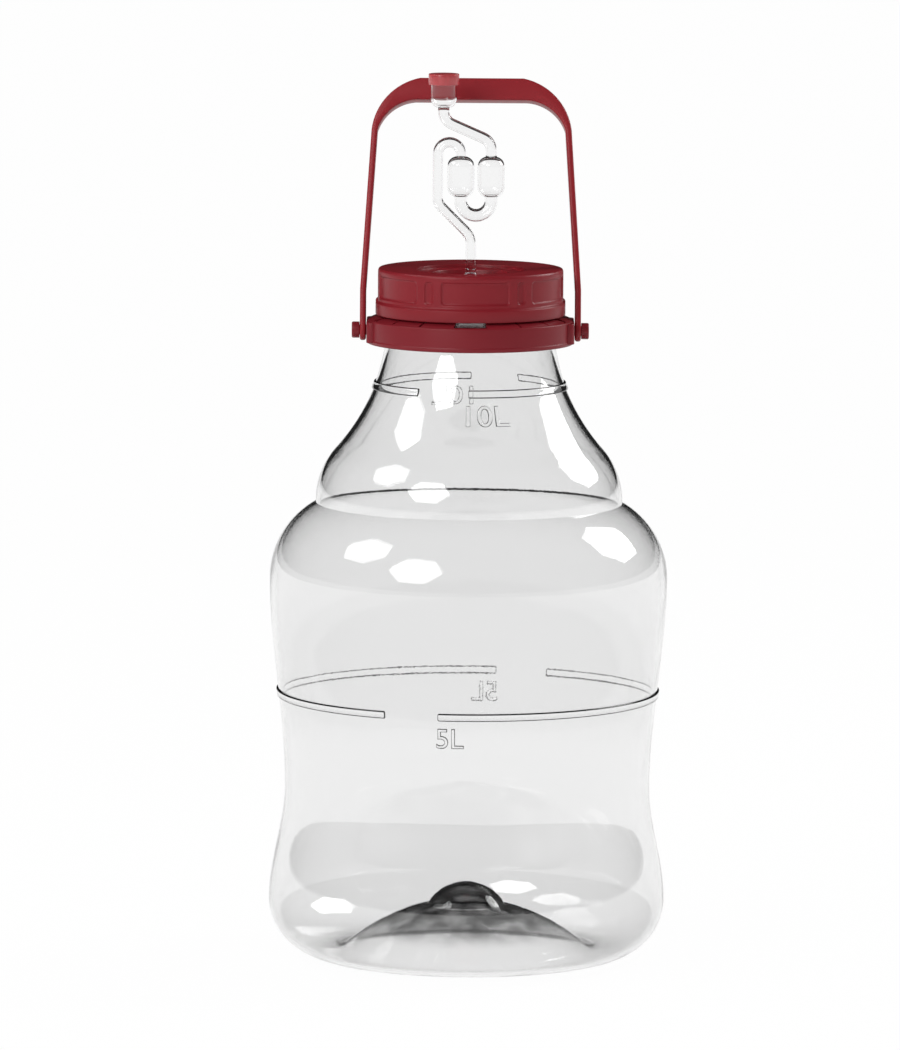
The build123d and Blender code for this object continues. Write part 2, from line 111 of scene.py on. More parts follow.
def addNode(tree, kind, settings=None):
    node = tree.nodes.new(kind)
    for name, value in (settings or {}).items():
        if isinstance(name, str) and hasattr(node, name):
            setattr(node, name, value)
        elif isinstance(value, bpy.types.Node):
            tree.links.new(value.outputs[0], node.inputs[name])
        elif isinstance(value, bpy.types.NodeSocket):
            tree.links.new(value, node.inputs[name])
        else:
            node.inputs[name].default_value = value
    return node


def mathFor(tree):  # a short form for the many Math nodes of one tree
    def calc(operation, *terms, clamp=False):
        settings = {"operation": operation, "use_clamp": clamp}
        settings.update(enumerate(terms))
        return addNode(tree, "ShaderNodeMath", settings)
    return calc


def addVector(tree, operation, settings):
    return addNode(tree, "ShaderNodeVectorMath", {"operation": operation, **settings})


def addRange(tree, value, start, end, low=0.0, high=1.0, kind="LINEAR"):  # start to end becomes low to high
    return addNode(tree, "ShaderNodeMapRange", {
        "interpolation_type": kind, "Value": value, "From Min": start, "From Max": end, "To Min": low,
        "To Max": high})


def addRadius(tree, place):  # a place without its height, and how far that is from the axis
    flat = addVector(tree, "MULTIPLY", {0: place, 1: (1.0, 1.0, 0.0)})
    return flat, addVector(tree, "LENGTH", {0: flat}).outputs["Value"]


def newTree(name, inputs):  # every tree also takes a geometry and a material
    tree = bpy.data.node_groups.new(name, "GeometryNodeTree")
    tree.interface.new_socket("Geometry", in_out="INPUT", socket_type="NodeSocketGeometry")
    for label, value in inputs.items():
        kind = "NodeSocketInt" if isinstance(value, int) else "NodeSocketFloat"
        tree.interface.new_socket(label, in_out="INPUT", socket_type=kind).default_value = value
    tree.interface.new_socket("Material", in_out="INPUT", socket_type="NodeSocketMaterial")
    tree.interface.new_socket("Geometry", in_out="OUTPUT", socket_type="NodeSocketGeometry")
    return tree, addNode(tree, "NodeGroupInput").outputs, mathFor(tree)


def closeTree(tree, given, geometry):
    real = addNode(tree, "GeometryNodeRealizeInstances", {"Geometry": geometry})
    painted = addNode(tree, "GeometryNodeSetMaterial", {"Geometry": real, "Material": given["Material"]})
    addNode(tree, "NodeGroupOutput", {"Geometry": painted})
    return tree


def countPoints(tree, given):
    size = addNode(tree, "GeometryNodeAttributeDomainSize", {"component": "MESH", 0: given["Geometry"]})
    return size.outputs["Point Count"]


def addSheet(tree, calc, columns, rows):  # a sheet of points, and the column and row of each
    sheet = addNode(tree, "GeometryNodeMeshGrid", {"Vertices X": columns, "Vertices Y": rows})
    index = addNode(tree, "GeometryNodeInputIndex")
    return sheet, calc("FLOOR", calc("DIVIDE", index, rows)), calc("MODULO", index, rows)


def sampleAt(tree, given, kind, field, index):
    return addNode(tree, "GeometryNodeSampleIndex", {
        "data_type": kind, "domain": "POINT", "Geometry": given["Geometry"], "Value": field, "Index": index})


def bendSheet(tree, sheet, place):  # every point of the sheet goes to its place
    bent = addNode(tree, "GeometryNodeSetPosition", {"Geometry": sheet, "Position": place})
    return addNode(tree, "GeometryNodeMergeByDistance", {"Distance": weld, "Geometry": bent})


# Runs a ring of points round every station of a chain: turned shapes and bent tubes alike.
# A station's place is its middle, ringRadius its radius and ringSide the way to its first point.
def makeRingTree():
    tree, given, calc = newTree("ringsAlongStations", {"Segments": 96})
    columns = calc("ADD", given["Segments"], 1.0)
    sheet, column, row = addSheet(tree, calc, columns, countPoints(tree, given))
    angle = calc("MULTIPLY", calc("DIVIDE", column, given["Segments"]), 2 * math.pi)
    middle = sampleAt(tree, given, "FLOAT_VECTOR", addNode(tree, "GeometryNodeInputPosition"), row)
    side, radius = [
        sampleAt(tree, given, kind, addNode(tree, "GeometryNodeInputNamedAttribute",
                                            {"data_type": kind, "Name": label}), row)
        for label, kind in (("ringSide", "FLOAT_VECTOR"), ("ringRadius", "FLOAT"))]
    across = addVector(tree, "SCALE", {0: side, "Scale": calc("COSINE", angle)})
    along = addNode(tree, "ShaderNodeCombineXYZ", {"Y": calc("SINE", angle)})
    reach = addVector(tree, "ADD", {0: across, 1: along})
    offset = addVector(tree, "SCALE", {0: reach, "Scale": radius})
    place = addVector(tree, "ADD", {0: middle, 1: offset})
    return closeTree(tree, given, bendSheet(tree, sheet, place))


# Winds a closed outline round the axis as ridges, bands or cutters with rounded ends
def makeWindTree():
    tree, given, calc = newTree("windRoundAxis", {
        "Stations": 48, "Start": 0.0, "Turn": 1.0, "Lead": 0.0, "End Round": 0.001, "Half Height": 0.001,
        "End Drop": 1.0, "Anchor Radius": 0.05, "Anchor Height": 0.0, "Copies": 1})
    count = countPoints(tree, given)
    columns = calc("ADD", given["Stations"], 2.0)
    sheet, column, loop = addSheet(tree, calc, columns, calc("ADD", count, 1.0))
    outline = sampleAt(tree, given, "FLOAT_VECTOR", addNode(tree, "GeometryNodeInputPosition"),
                       calc("MODULO", loop, count))
    parts = addNode(tree, "ShaderNodeSeparateXYZ", {0: outline}).outputs
    # the first and last station close the ends, the ones between are spaced closer near them
    number = calc("SUBTRACT", column, 1.0)
    last = calc("SUBTRACT", given["Stations"], 1.0)
    held = calc("MINIMUM", calc("MAXIMUM", number, 0.0), last)
    isOpen = calc("COMPARE", held, number, 0.5)
    halfTurn = calc("MULTIPLY", calc("DIVIDE", held, last), math.pi)
    eased = calc("MULTIPLY_ADD", calc("COSINE", halfTurn), -0.5, 0.5)
    swept = calc("MULTIPLY", eased, given["Turn"])
    angle = calc("ADD", swept, given["Start"])
    # how far the nearer end is, along the wall, and how much the outline shrinks towards it
    nearer = calc("MINIMUM", eased, calc("SUBTRACT", 1.0, eased))
    distance = calc("MULTIPLY", nearer, calc("MULTIPLY", given["Turn"], given["Anchor Radius"]))
    left = calc("SUBTRACT", 1.0, calc("DIVIDE", distance, given["End Round"]), clamp=True)
    full = calc("SQRT", calc("SUBTRACT", 1.0, calc("MULTIPLY", left, left), clamp=True))
    bite = calc("DIVIDE", given["End Round"], given["Half Height"])
    loss = calc("MULTIPLY", calc("SUBTRACT", 1.0, full), bite)
    lower = calc("SUBTRACT", 1.0, calc("MULTIPLY", loss, given["End Drop"]))
    tall = calc("MULTIPLY", calc("SUBTRACT", 1.0, loss), isOpen)
    deep = calc("MULTIPLY", lower, isOpen)
    outward = calc("SUBTRACT", parts["X"], given["Anchor Radius"])
    radius = calc("MULTIPLY_ADD", outward, deep, given["Anchor Radius"])
    upward = calc("SUBTRACT", parts["Z"], given["Anchor Height"])
    level = calc("MULTIPLY_ADD", upward, tall, given["Anchor Height"])
    height = calc("MULTIPLY_ADD", calc("DIVIDE", swept, 2 * math.pi), given["Lead"], level)
    place = addNode(tree, "ShaderNodeCombineXYZ", {
        "X": calc("MULTIPLY", radius, calc("COSINE", angle)),
        "Y": calc("MULTIPLY", radius, calc("SINE", angle)), "Z": height})
    # the copies stand evenly round the axis
    copies = addNode(tree, "GeometryNodeMeshLine", {"Offset": (0.0, 0.0, 0.0), "Count": given["Copies"]})
    stepAngle = calc("DIVIDE", 2 * math.pi, given["Copies"])
    copyAngle = calc("MULTIPLY", addNode(tree, "GeometryNodeInputIndex"), stepAngle)
    turnCopy = addNode(tree, "ShaderNodeCombineXYZ", {"Z": copyAngle})
    spread = addNode(tree, "GeometryNodeInstanceOnPoints", {
        "Points": copies, "Instance": bendSheet(tree, sheet, place), "Rotation": turnCopy})
    return closeTree(tree, given, spread)


ringTree = makeRingTree()
windTree = makeWindTree()


# Mesh helpers

def newObject(name, vertices, edges=(), faces=()):
    mesh = bpy.data.meshes.new(name)
    mesh.from_pydata([Vector(v) * mm for v in vertices], list(edges), list(faces))
    obj = bpy.data.objects.new(name, mesh)
    bpy.context.scene.collection.objects.link(obj)
    return obj


def settle(obj):  # modifiers become the mesh itself
    depsgraph = bpy.context.evaluated_depsgraph_get()
    mesh = bpy.data.meshes.new_from_object(obj.evaluated_get(depsgraph), depsgraph=depsgraph)
    obj.modifiers.clear()
    old = obj.data
    obj.data = mesh
    bpy.data.meshes.remove(old)
    return obj


def runTree(obj, tree, values):
    modifier = obj.modifiers.new(tree.name, "NODES")
    modifier.node_group = tree
    for item in tree.interface.items_tree:
        if item.item_type == "SOCKET" and item.in_out == "INPUT" and item.name in values:
            modifier[item.identifier] = values[item.name]
    return settle(obj)


def faceOut(obj):  # all faces of a closed shell point outwards
    work = bmesh.new()
    work.from_mesh(obj.data)
    bmesh.ops.remove_doubles(work, verts=work.verts, dist=weld)
    bmesh.ops.recalc_face_normals(work, faces=work.faces)
    work.to_mesh(obj.data)
    work.free()
    return obj


def combine(target, tools, operation):  # exact union or difference with other closed solids
    for tool in tools:
        modifier = target.modifiers.new(operation, "BOOLEAN")
        modifier.operation = operation
        modifier.solver = "EXACT"
        modifier.object = tool
    settle(target)
    for tool in tools:
        bpy.data.objects.remove(tool)
    return target


def ringed(name, places, radii, sides, segments, material):  # a closed chain of stations with their rings
    obj = newObject(name, places, [(i, i + 1) for i in range(len(places) - 1)])
    radius = obj.data.attributes.new("ringRadius", "FLOAT", "POINT")
    radius.data.foreach_set("value", [r * mm for r in radii])
    side = obj.data.attributes.new("ringSide", "FLOAT_VECTOR", "POINT")
    side.data.foreach_set("vector", sides)
    return faceOut(runTree(obj, ringTree, {"Segments": segments, "Material": material}))


# A turned piece: the outline is a closed loop of (radius, height)
def turned(name, outline, segments, material):
    closed = list(outline) + [outline[0]]
    return ringed(name, [(0, 0, z) for r, z in closed], [r for r, z in closed],
                  [1.0, 0.0, 0.0] * len(closed), segments, material)


# A ridge, band or cutter wound round the axis; angles in degrees, anticlockwise from +X
def wound(name, outline, anchor, start, turn, material, lead=0.0, endRound=1.0, endDrop=1.0, copies=1,
          stations=48):
    obj = newObject(name, [(r, 0, z) for r, z in outline],
                    [(i, (i + 1) % len(outline)) for i in range(len(outline))])
    heights = [z for r, z in outline]
    return faceOut(runTree(obj, windTree, {
        "Stations": stations, "Start": math.radians(start), "Turn": math.radians(turn), "Lead": lead * mm,
        "Half Height": (max(heights) - min(heights)) / 2 * mm, "End Round": endRound * mm,
        "End Drop": endDrop, "Anchor Radius": anchor[0] * mm, "Anchor Height": anchor[1] * mm,
        "Copies": copies, "Material": material}))


# Screw ridges from a piece's thread values; out is 1 on an outer wall and -1 on an inner one
def threadRidges(name, values, root, out, stations, material):
    level = values["threadHeight"]
    lower = [(root + out * reach, level - half, soft) for reach, half, soft in values["threadHalf"]]
    upper = [(root + out * reach, level + half, soft) for reach, half, soft in reversed(values["threadHalf"])]
    return wound(name, softCorners(lower + upper), (lower[0][0], level), values["threadStart"],
                 values["threadTurn"], material, lead=values["threadLead"], endRound=values["threadEnd"],
                 copies=4, stations=stations)


def prism(name, outline, low, high, material, axis="Z"):  # a flat outline pushed out to a closed solid
    total = len(outline)
    if axis == "Z":
        vertices = [(x, y, level) for level in (low, high) for x, y in outline]
    else:  # outline in X and Z, depth along Y
        vertices = [(x, level, z) for level in (low, high) for x, z in outline]
    faces = [tuple(reversed(range(total))), tuple(range(total, 2 * total))]
    faces += [(i, (i + 1) % total, total + (i + 1) % total, total + i) for i in range(total)]
    obj = newObject(name, vertices, faces=faces)
    obj.data.materials.append(material)
    return faceOut(obj)


def shifted(obj, matrix):
    obj.data.transform(matrix)
    obj.data.update()
    return obj


def turnedBy(angle, axis):
    return Matrix.Rotation(math.radians(angle), 4, axis)


def raisedBy(height):
    return Matrix.Translation((0, 0, height * mm))


def lying(name, outline, height, material, turn=0):  # a piece turned about an axis along X, at its height
    piece = shifted(turned(name, outline, 48, material), turnedBy(90, "Y"))
    return faceOut(shifted(shifted(piece, turnedBy(turn, "Z")), raisedBy(height)))


def rodAlongX(name, radius, start, end, height, material):
    return lying(name, [(0, start), (radius, start), (radius, end), (0, end)], height, material)


def bevelled(obj, width, segments, angle):
    modifier = obj.modifiers.new("softEdges", "BEVEL")
    modifier.width = width * mm
    modifier.segments = segments
    modifier.limit_method = "ANGLE"
    modifier.angle_limit = math.radians(angle)
    return settle(obj)


def finishPiece(obj, name, body, slotName, *nodes):
    obj.name = name
    obj.data.shade_smooth()
    obj.data.set_sharp_from_angle(angle=math.radians(sharpFrom))
    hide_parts(*nodes)
    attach(obj, body)
    print(name, "made", len(obj.data.polygons))


# Material helpers. Colours are written as sRGB hex and turned to linear here.

def paint(code):
    channels = [int(code[place:place + 2], 16) / 255 for place in (1, 3, 5)]
    return tuple(c / 12.92 if c <= 0.04045 else ((c + 0.055) / 1.055) ** 2.4 for c in channels) + (1.0,)


def newMaterial(name):
    material = bpy.data.materials.new(name)
    material.use_nodes = True
    material.node_tree.nodes.clear()
    return material, material.node_tree


def addPlace(tree):
    return addNode(tree, "ShaderNodeTexCoord").outputs["Object"]


def addNoise(tree, scale, detail):
    return addNode(tree, "ShaderNodeTexNoise", {"Scale": scale, "Detail": detail, "Vector": addPlace(tree)})


def addShade(tree, dark, light, share):  # a colour between two tones
    mix = addNode(tree, "ShaderNodeMix", {"data_type": "RGBA", 0: share, 6: paint(dark), 7: paint(light)})
    return mix.outputs[2]


def addBump(tree, strength, distance, height):
    return addNode(tree, "ShaderNodeBump", {"Strength": strength, "Distance": distance, "Height": height})


def addBody(tree, settings):
    body = addNode(tree, "ShaderNodeBsdfPrincipled", settings)
    addNode(tree, "ShaderNodeOutputMaterial", {"Surface": body})


# A plain plastic or rubber: two tones mixed by a fine texture, which also is its bump of (strength, distance)
def makePlain(name, texture, dark, light, bump, settings):
    material, tree = newMaterial(name)
    if texture[0] == "cells":
        cells = addNode(tree, "ShaderNodeTexVoronoi", {"Scale": texture[1], "Vector": addPlace(tree)})
        height = cells.outputs["Distance"]
    else:
        height = addNoise(tree, *texture)
    settings = {**settings, "Base Color": addShade(tree, dark, light, height)}
    if bump:
        settings["Normal"] = addBump(tree, *bump, height)
    addBody(tree, settings)
    return material


# Blown PET: clear as glass, with the faint waves of a stretched bottle and a very fine orange peel.
# In the middle of the base, painted shade greys the clear PET; it is lighter on the dome's crown and in
# uneven patches of painted reflection (radii and height in metres).
paintedBaseShade = {"grey": (0.061, 0.043), "crown": (0.006, 0.019, 0.45), "below": 0.045, "reflectionPatches": (0.35, 0.6, 0.5)}


def makeClearPet():
    material, tree = newMaterial("blownClearPet")
    calc = mathFor(tree)
    wavy = addBump(tree, 0.06, 0.002, addNoise(tree, 28.0, 1.0))
    rough = addNode(tree, "ShaderNodeBump", {
        "Strength": 0.02, "Distance": 0.0002, "Height": addNoise(tree, 900.0, 2.0), "Normal": wavy})
    place = addPlace(tree)
    radius = addRadius(tree, place)[1]
    level = addNode(tree, "ShaderNodeSeparateXYZ", {0: place}).outputs["Z"]
    # painted shade on the base's middle, less on the crown and in patches of painted reflection
    inward = addRange(tree, radius, *paintedBaseShade["grey"], kind="SMOOTHSTEP")
    outward = addRange(tree, radius, *paintedBaseShade["crown"], kind="SMOOTHSTEP")
    patchyReflection = addRange(tree, addNoise(tree, 75.0, 3.0), *paintedBaseShade["reflectionPatches"])
    paintedShade = calc("LESS_THAN", level, paintedBaseShade["below"])
    for share in (inward, outward, patchyReflection):
        paintedShade = calc("MULTIPLY", paintedShade, share)
    # the base colour carries the painted shade of the base's middle
    addBody(tree, {"Roughness": 0.008, "IOR": 1.57, "Transmission Weight": 1.0, "Normal": rough,
                   "Base Color": addShade(tree, "#F6F6F6", "#4A4A4A", paintedShade)})
    return material


# Red polypropylene, injection moulded: satin, with a fine spark-eroded grain and soft flow shading
def makeRedPlastic(name, dark, light):
    material, tree = newMaterial(name)
    grain = addBump(tree, 0.12, 0.0002, addNoise(tree, 1600.0, 2.0))
    flow = addNoise(tree, 22.0, 2.0)
    addBody(tree, {"IOR": 1.49, "Specular IOR Level": 0.3, "Base Color": addShade(tree, dark, light, flow),
                   "Roughness": addRange(tree, flow, 0.0, 1.0, 0.34, 0.44), "Normal": grain})
    return material


clearPet = makeClearPet()

# The steep edges of the raised marks turn the light away and look nearly black, though they are the same PET
steepPet = makePlain("steepEdgePet", (160.0, 1.0), "#000000", "#0C0C0C", None, {
    "Roughness": 0.02, "IOR": 1.57, "Transmission Weight": 1.0})

# The red plastic of lid, ring and handle, each in the tone in which the photo's light shows it
redPlastic = makeRedPlastic("mouldedRedPolypropylene", "#7C1620", "#861A24")
ringPlastic = makeRedPlastic("ringRedPolypropylene", "#741620", "#7E1A24")
handlePlastic = makeRedPlastic("handleRedPolypropylene", "#8A1B24", "#942028")

# Thin red styrene of the dust cap: glossy, lets some light through its wall
capRed = makePlain("mouldedRedStyrene", (120.0, 1.0), "#BC444A", "#CC5458", (0.05, 0.0002), {
    "Roughness": 0.22, "IOR": 1.59, "Transmission Weight": 0.25, "Subsurface Weight": 0.2,
    "Subsurface Radius": (0.004, 0.001, 0.001), "Subsurface Scale": 0.5})

# Clear styrene of the airlock: hard and glossy, nearly without tint; it bends light less here than real
# styrene does, because that keeps the small tube as clear as it looks in the photo
clearStyrene = makePlain("mouldedClearStyrene", (90.0, 1.0), "#FBFBFB", "#FBFBFB", (0.02, 0.0004), {
    "Roughness": 0.015, "IOR": 1.3, "Transmission Weight": 1.0})

# Soft white rubber of the bung: matt, slightly bluish, a little light runs under its skin
softWhite = makePlain("softWhiteRubber", (1400.0, 2.0), "#D2D2D8", "#DEDEE2", (0.15, 0.0002), {
    "Roughness": 0.5, "IOR": 1.45, "Subsurface Weight": 0.15, "Subsurface Radius": (0.002, 0.002, 0.002),
    "Subsurface Scale": 0.5})

# Foamed polyethylene of the lid's liner: matt white with small closed cells about 0.8 mm across
sealFoam = makePlain("foamedPolyethylene", ("cells", 1250.0), "#E6E6E2", "#D6D6D2", (0.3, 0.0002), {
    "Roughness": 0.75, "IOR": 1.5})
print("materials made")


# Jar: one blown shell with its screw neck, volume bands and volume numbers
jar = {
    "wall": 2.0, "shoulderThick": 3.4, "flareThick": 2.4, "neckThick": 3.0, "segments": 240,
    "footRadius": 113.3, "footRound": 33.0, "waistRadius": 104.4, "waistHeight": 97.4,
    "bellyRadius": 113.6, "bellyHeight": 217.4, "shoulderRound": 49.2, "creaseRadius": 87.5, "creaseLip": 1.6,
    "bulgeRound": 44.0, "neckRadius": 47.5, "neckFoot": 367.4, "rimHeight": 388.5,
    "rimOut": 0.4, "rimRound": 0.8, "rimStep": (2.6, 2.2), "rimRows": (5.0, 6.0),
    "contactInside": 74.0, "puntRadius": 69.0, "puntHeight": 3.0, "puntBulge": 3.0,
    "domeRadius": 22.0, "domeHeight": 27.0, "domeRise": 12.5,
    "beadHeight": 373.2, "beadOut": 3.8, "beadHalf": 2.2, "beadRow": 4.0,
    "beadFoot": ((0, 2.6), (0.15, 2.3), (0.5, 2.2)),
    "threadHeight": 377.4, "threadHalf": ((-0.4, 1.7, 0), (0.1, 1.5, 0.3), (2.1, 0.85, 0.5)),
    "threadEnd": 1.7, "threadLead": 24.0, "threadTurn": 95.0, "threadStart": -62.5,
    "bandOut": 1.1, "bandHeight": 4.4, "bandRound": 1.05, "bandSunk": 0.4, "bandEnd": 0.8, "bandDrop": 0.3,
    "markOut": 1.1, "markSunk": 0.8, "markHeight": 11.5,
    "upper": {"band": 326.3, "start": -91.0, "turn": 149.0, "words": "10L", "mark": 310.8, "at": -80.3,
              "wide": 24.5},
    "lower": {"band": 149.6, "start": -99.0, "turn": 163.6, "words": "5L", "mark": 133.8, "at": -95.35,
              "wide": 15.65},
    "steepBand": 9.0, "steepMark": 34.0, "steepOff": 0.04, "steepPast": 1.0,
}
letters = {"extrude": 0.01, "bevel_depth": 0.035, "bevel_resolution": 3, "offset": -0.02, "resolution_u": 6}
shoulderCenter = (jar["bellyRadius"] - jar["shoulderRound"], jar["bellyHeight"])
creaseHeight = shoulderCenter[1] + math.sqrt(
    jar["shoulderRound"] ** 2 - (jar["creaseRadius"] - shoulderCenter[0]) ** 2)
bulgeCenter = (jar["creaseRadius"] - jar["bulgeRound"], creaseHeight + jar["creaseLip"])
flareRun = jar["neckRadius"] - bulgeCenter[0]
flareRise = jar["neckFoot"] - bulgeCenter[1]
flareRound = (flareRun ** 2 + flareRise ** 2 - jar["bulgeRound"] ** 2) / (2 * (jar["bulgeRound"] - flareRun))
flareCenter = (jar["neckRadius"] + flareRound, jar["neckFoot"])
meetAngle = math.degrees(math.atan2(flareRise, flareCenter[0] - bulgeCenter[0]))


def flareRadius(z):
    return flareCenter[0] - math.sqrt(flareRound ** 2 - (jar["neckFoot"] - z) ** 2)


def sideRadius(z):
    t = (z - jar["waistHeight"]) / (jar["bellyHeight"] - jar["waistHeight"])
    return jar["waistRadius"] + (jar["bellyRadius"] - jar["waistRadius"]) * t * t * (3 - 2 * t)


volumes = ((jar["upper"], flareRadius), (jar["lower"], sideRadius))


def jarSide(inset, steps):  # from the foot up to the neck
    # the inner side leaves a thicker wall at the shoulder and the flare than at the belly and the crease
    atShoulder, atFlare, atNeck = [jar[name] - jar["wall"] if inset else 0
                                   for name in ("shoulderThick", "flareThick", "neckThick")]
    shoulder, bulge = jar["shoulderRound"] - inset, jar["bulgeRound"] - inset
    crease = math.acos((jar["creaseRadius"] - inset - shoulderCenter[0]) / shoulder)
    corner = (jar["creaseRadius"] - inset, shoulderCenter[1] + shoulder * math.sin(crease))
    foot = (jar["footRadius"] - jar["footRound"], jar["footRound"])
    waist = (jar["waistRadius"] - inset, jar["waistHeight"])
    return joinRuns(
        arcPoints(foot, jar["footRound"] - inset, -90, 0, steps),
        swellPoints((jar["footRadius"] - inset, foot[1]), waist, steps),
        swellPoints(waist, (jar["bellyRadius"] - inset - atShoulder, jar["bellyHeight"]), steps),
        arcPoints(shoulderCenter, shoulder - atShoulder, 0, math.degrees(crease), steps, atShoulder),
        [corner], arcPoints(bulgeCenter, bulge, 0, meetAngle, steps, -atFlare),
        arcPoints(flareCenter, flareRound + inset + atFlare, 180 + meetAngle, 180, steps, atNeck - atFlare))


def jarBase(lift, steps):  # from the axis out to the foot
    sphere = (jar["domeRadius"] ** 2 + jar["domeRise"] ** 2) / (2 * jar["domeRise"])
    center = (0, jar["domeHeight"] + jar["domeRise"] - sphere + lift)
    edge = (jar["domeRadius"], jar["domeHeight"] + lift)
    angle = math.degrees(math.atan2(edge[1] - center[1], edge[0]))
    punt = (jar["puntRadius"], jar["puntHeight"] + lift)
    return joinRuns(
        arcPoints(center, sphere, 90, angle, steps), bowPoints(edge, punt, jar["puntBulge"], steps),
        [(jar["contactInside"], lift), (jar["footRadius"] - jar["footRound"], lift)])


def jarFinish():  # neck, bead, lip and rim from outside to inside
    neck, rim, bead, soft = jar["neckRadius"], jar["rimHeight"], jar["beadHeight"], jar["rimRound"]
    bore, lip = neck - jar["neckThick"], neck + jar["rimOut"]
    stepLow, stepHigh = jar["rimStep"]
    rowOut, rowIn = jar["rimRows"]
    return joinRuns(
        [(neck, jar["neckFoot"])], [(neck + out, bead - away) for out, away in jar["beadFoot"]],
        arcPoints((neck + jar["beadOut"] - jar["beadHalf"], bead), jar["beadHalf"], -90, 90, 12),
        [(neck + out, bead + away) for out, away in reversed(jar["beadFoot"])],
        [(neck, bead + jar["beadRow"]), (neck, rim - rowOut), (neck, rim - stepLow), (lip, rim - stepHigh),
         (lip, rim - soft)],
        arcPoints((lip - soft, rim - soft), soft, 0, 90, 5),
        arcPoints((bore + soft, rim - soft), soft, 90, 180, 5),
        [(bore, rim - rowIn), (bore, jar["neckFoot"])])


def raisedText(volume, at, radiusAt):  # letters that stand out of the wall, reading from outside
    curve = bpy.data.curves.new("volumeMark", "FONT")
    curve.body = volume["words"]
    for setting, value in letters.items():
        setattr(curve, setting, value)
    source = bpy.data.objects.new("volumeMark", curve)
    bpy.context.scene.collection.objects.link(source)
    depsgraph = bpy.context.evaluated_depsgraph_get()
    flat = bpy.data.meshes.new_from_object(source.evaluated_get(depsgraph))
    corners = [[vertex.co[axis] for vertex in flat.vertices] for axis in range(3)]
    lows, spans = [min(c) for c in corners], [max(c) - min(c) for c in corners]
    middle = radiusAt(volume["mark"] + jar["markHeight"] / 2)
    places = []
    for vertex in flat.vertices:
        across, up, out = [(vertex.co[axis] - lows[axis]) / spans[axis] for axis in range(3)]
        z = volume["mark"] + up * jar["markHeight"]
        r = radiusAt(z) - jar["markSunk"] + out * (jar["markOut"] + jar["markSunk"])
        turn = math.radians(at) + (across - 0.5) * volume["wide"] / middle
        places.append((r * math.cos(turn), r * math.sin(turn), z))
    mark = newObject("volumeMark", places, faces=[tuple(face.vertices) for face in flat.polygons])
    mark.data.materials.append(clearPet)
    bpy.data.objects.remove(source)
    return faceOut(mark)


def makeJar():
    outline = joinRuns(
        jarBase(0, 9), jarSide(0, 17), jarFinish(), list(reversed(jarSide(jar["wall"], 13))),
        list(reversed(jarBase(jar["wall"], 8))))
    shell = turned("jarShell", outline, jar["segments"], clearPet)
    tools = [threadRidges("jarThread", jar, jar["neckRadius"], 1, 64, clearPet)]
    sunk, out, soft = jar["bandSunk"], jar["bandOut"], jar["bandRound"]
    for volume, radiusAt in volumes:
        low, high = volume["band"], volume["band"] + jar["bandHeight"]
        band = softCorners([
            (radiusAt(low) - sunk, low, 0), (radiusAt(low) + out, low, soft),
            (radiusAt(high) + out, high, soft), (radiusAt(high) - sunk, high, 0)], 5)
        middle = (low + high) / 2
        tools.append(wound(
            "volumeBand", band, (radiusAt(middle) - sunk, middle), volume["start"], volume["turn"], clearPet,
            endRound=jar["bandEnd"], endDrop=jar["bandDrop"], copies=2, stations=96))
    for volume, radiusAt in volumes:
        tools += [raisedText(volume, volume["at"] + turn, radiusAt) for turn in (0, 180)]
    return combine(shell, tools, "UNION")


def drawEdges(obj):  # the steep sides of bands and numbers get the dark edge material
    obj.data.materials.append(steepPet)
    steep = len(obj.data.materials) - 1
    past = jar["steepPast"]
    for volume, radiusAt in volumes:
        low, high = volume["mark"] - past, volume["band"] + jar["bandHeight"] + past
        bandFrom = volume["band"] - past
        for face in obj.data.polygons:
            x, y, z = (value / mm for value in face.center)
            out = math.hypot(x, y)
            if low < z < high and radiusAt(z) + jar["steepOff"] < out < radiusAt(z) + jar["bandOut"] * 2:
                lean = (radiusAt(z - 1) - radiusAt(z + 1)) / 2
                wall = Vector((x, y, lean * out)).normalized()
                least = jar["steepBand"] if z > bandFrom else jar["steepMark"]
                if face.normal.angle(wall) > math.radians(least):
                    face.material_index = steep
    return obj


finishPiece(drawEdges(makeJar()), "jarShell", "jar_body", "clear_pet", "jar")

# Carrying ring that snaps under the neck's bead; its cuts are slits, notches and windows (width, angles)
ring = {
    "low": 352.3, "top": 370.9, "innerLow": 49.03, "innerTop": 48.0, "collar": 51.3, "roofIn": 366.5,
    "roofOut": 364.3, "skirtIn": 56.5, "skirt": 58.7, "lip": 58.95, "lipHeight": 2.0, "lipSlope": 0.6,
    "coneLow": 365.7, "coneBend": (55.9, 366.9), "coneTop": (51.3, 368.1), "step": 50.8, "segments": 240,
    "cutDepth": 5.2, "cutFrom": 46.0, "cutReach": 57.6, "cutAt": 54.0, "overrun": 2.0,
    "cuts": ((1.1, (30, 50, 130, 150)), (4.0, (70, 110)), (18.0, (0,))),
    "earRoot": 51.0, "earSpread": 23, "earOut": 59.1, "earHalf": 20.0, "earLow": 353.5, "earHigh": 365.3,
    "earRound": 3.0, "earEdge": 0.5, "pivot": 359.4, "hole": 2.93, "holeFrom": 53.1, "holeTo": 62.0,
}


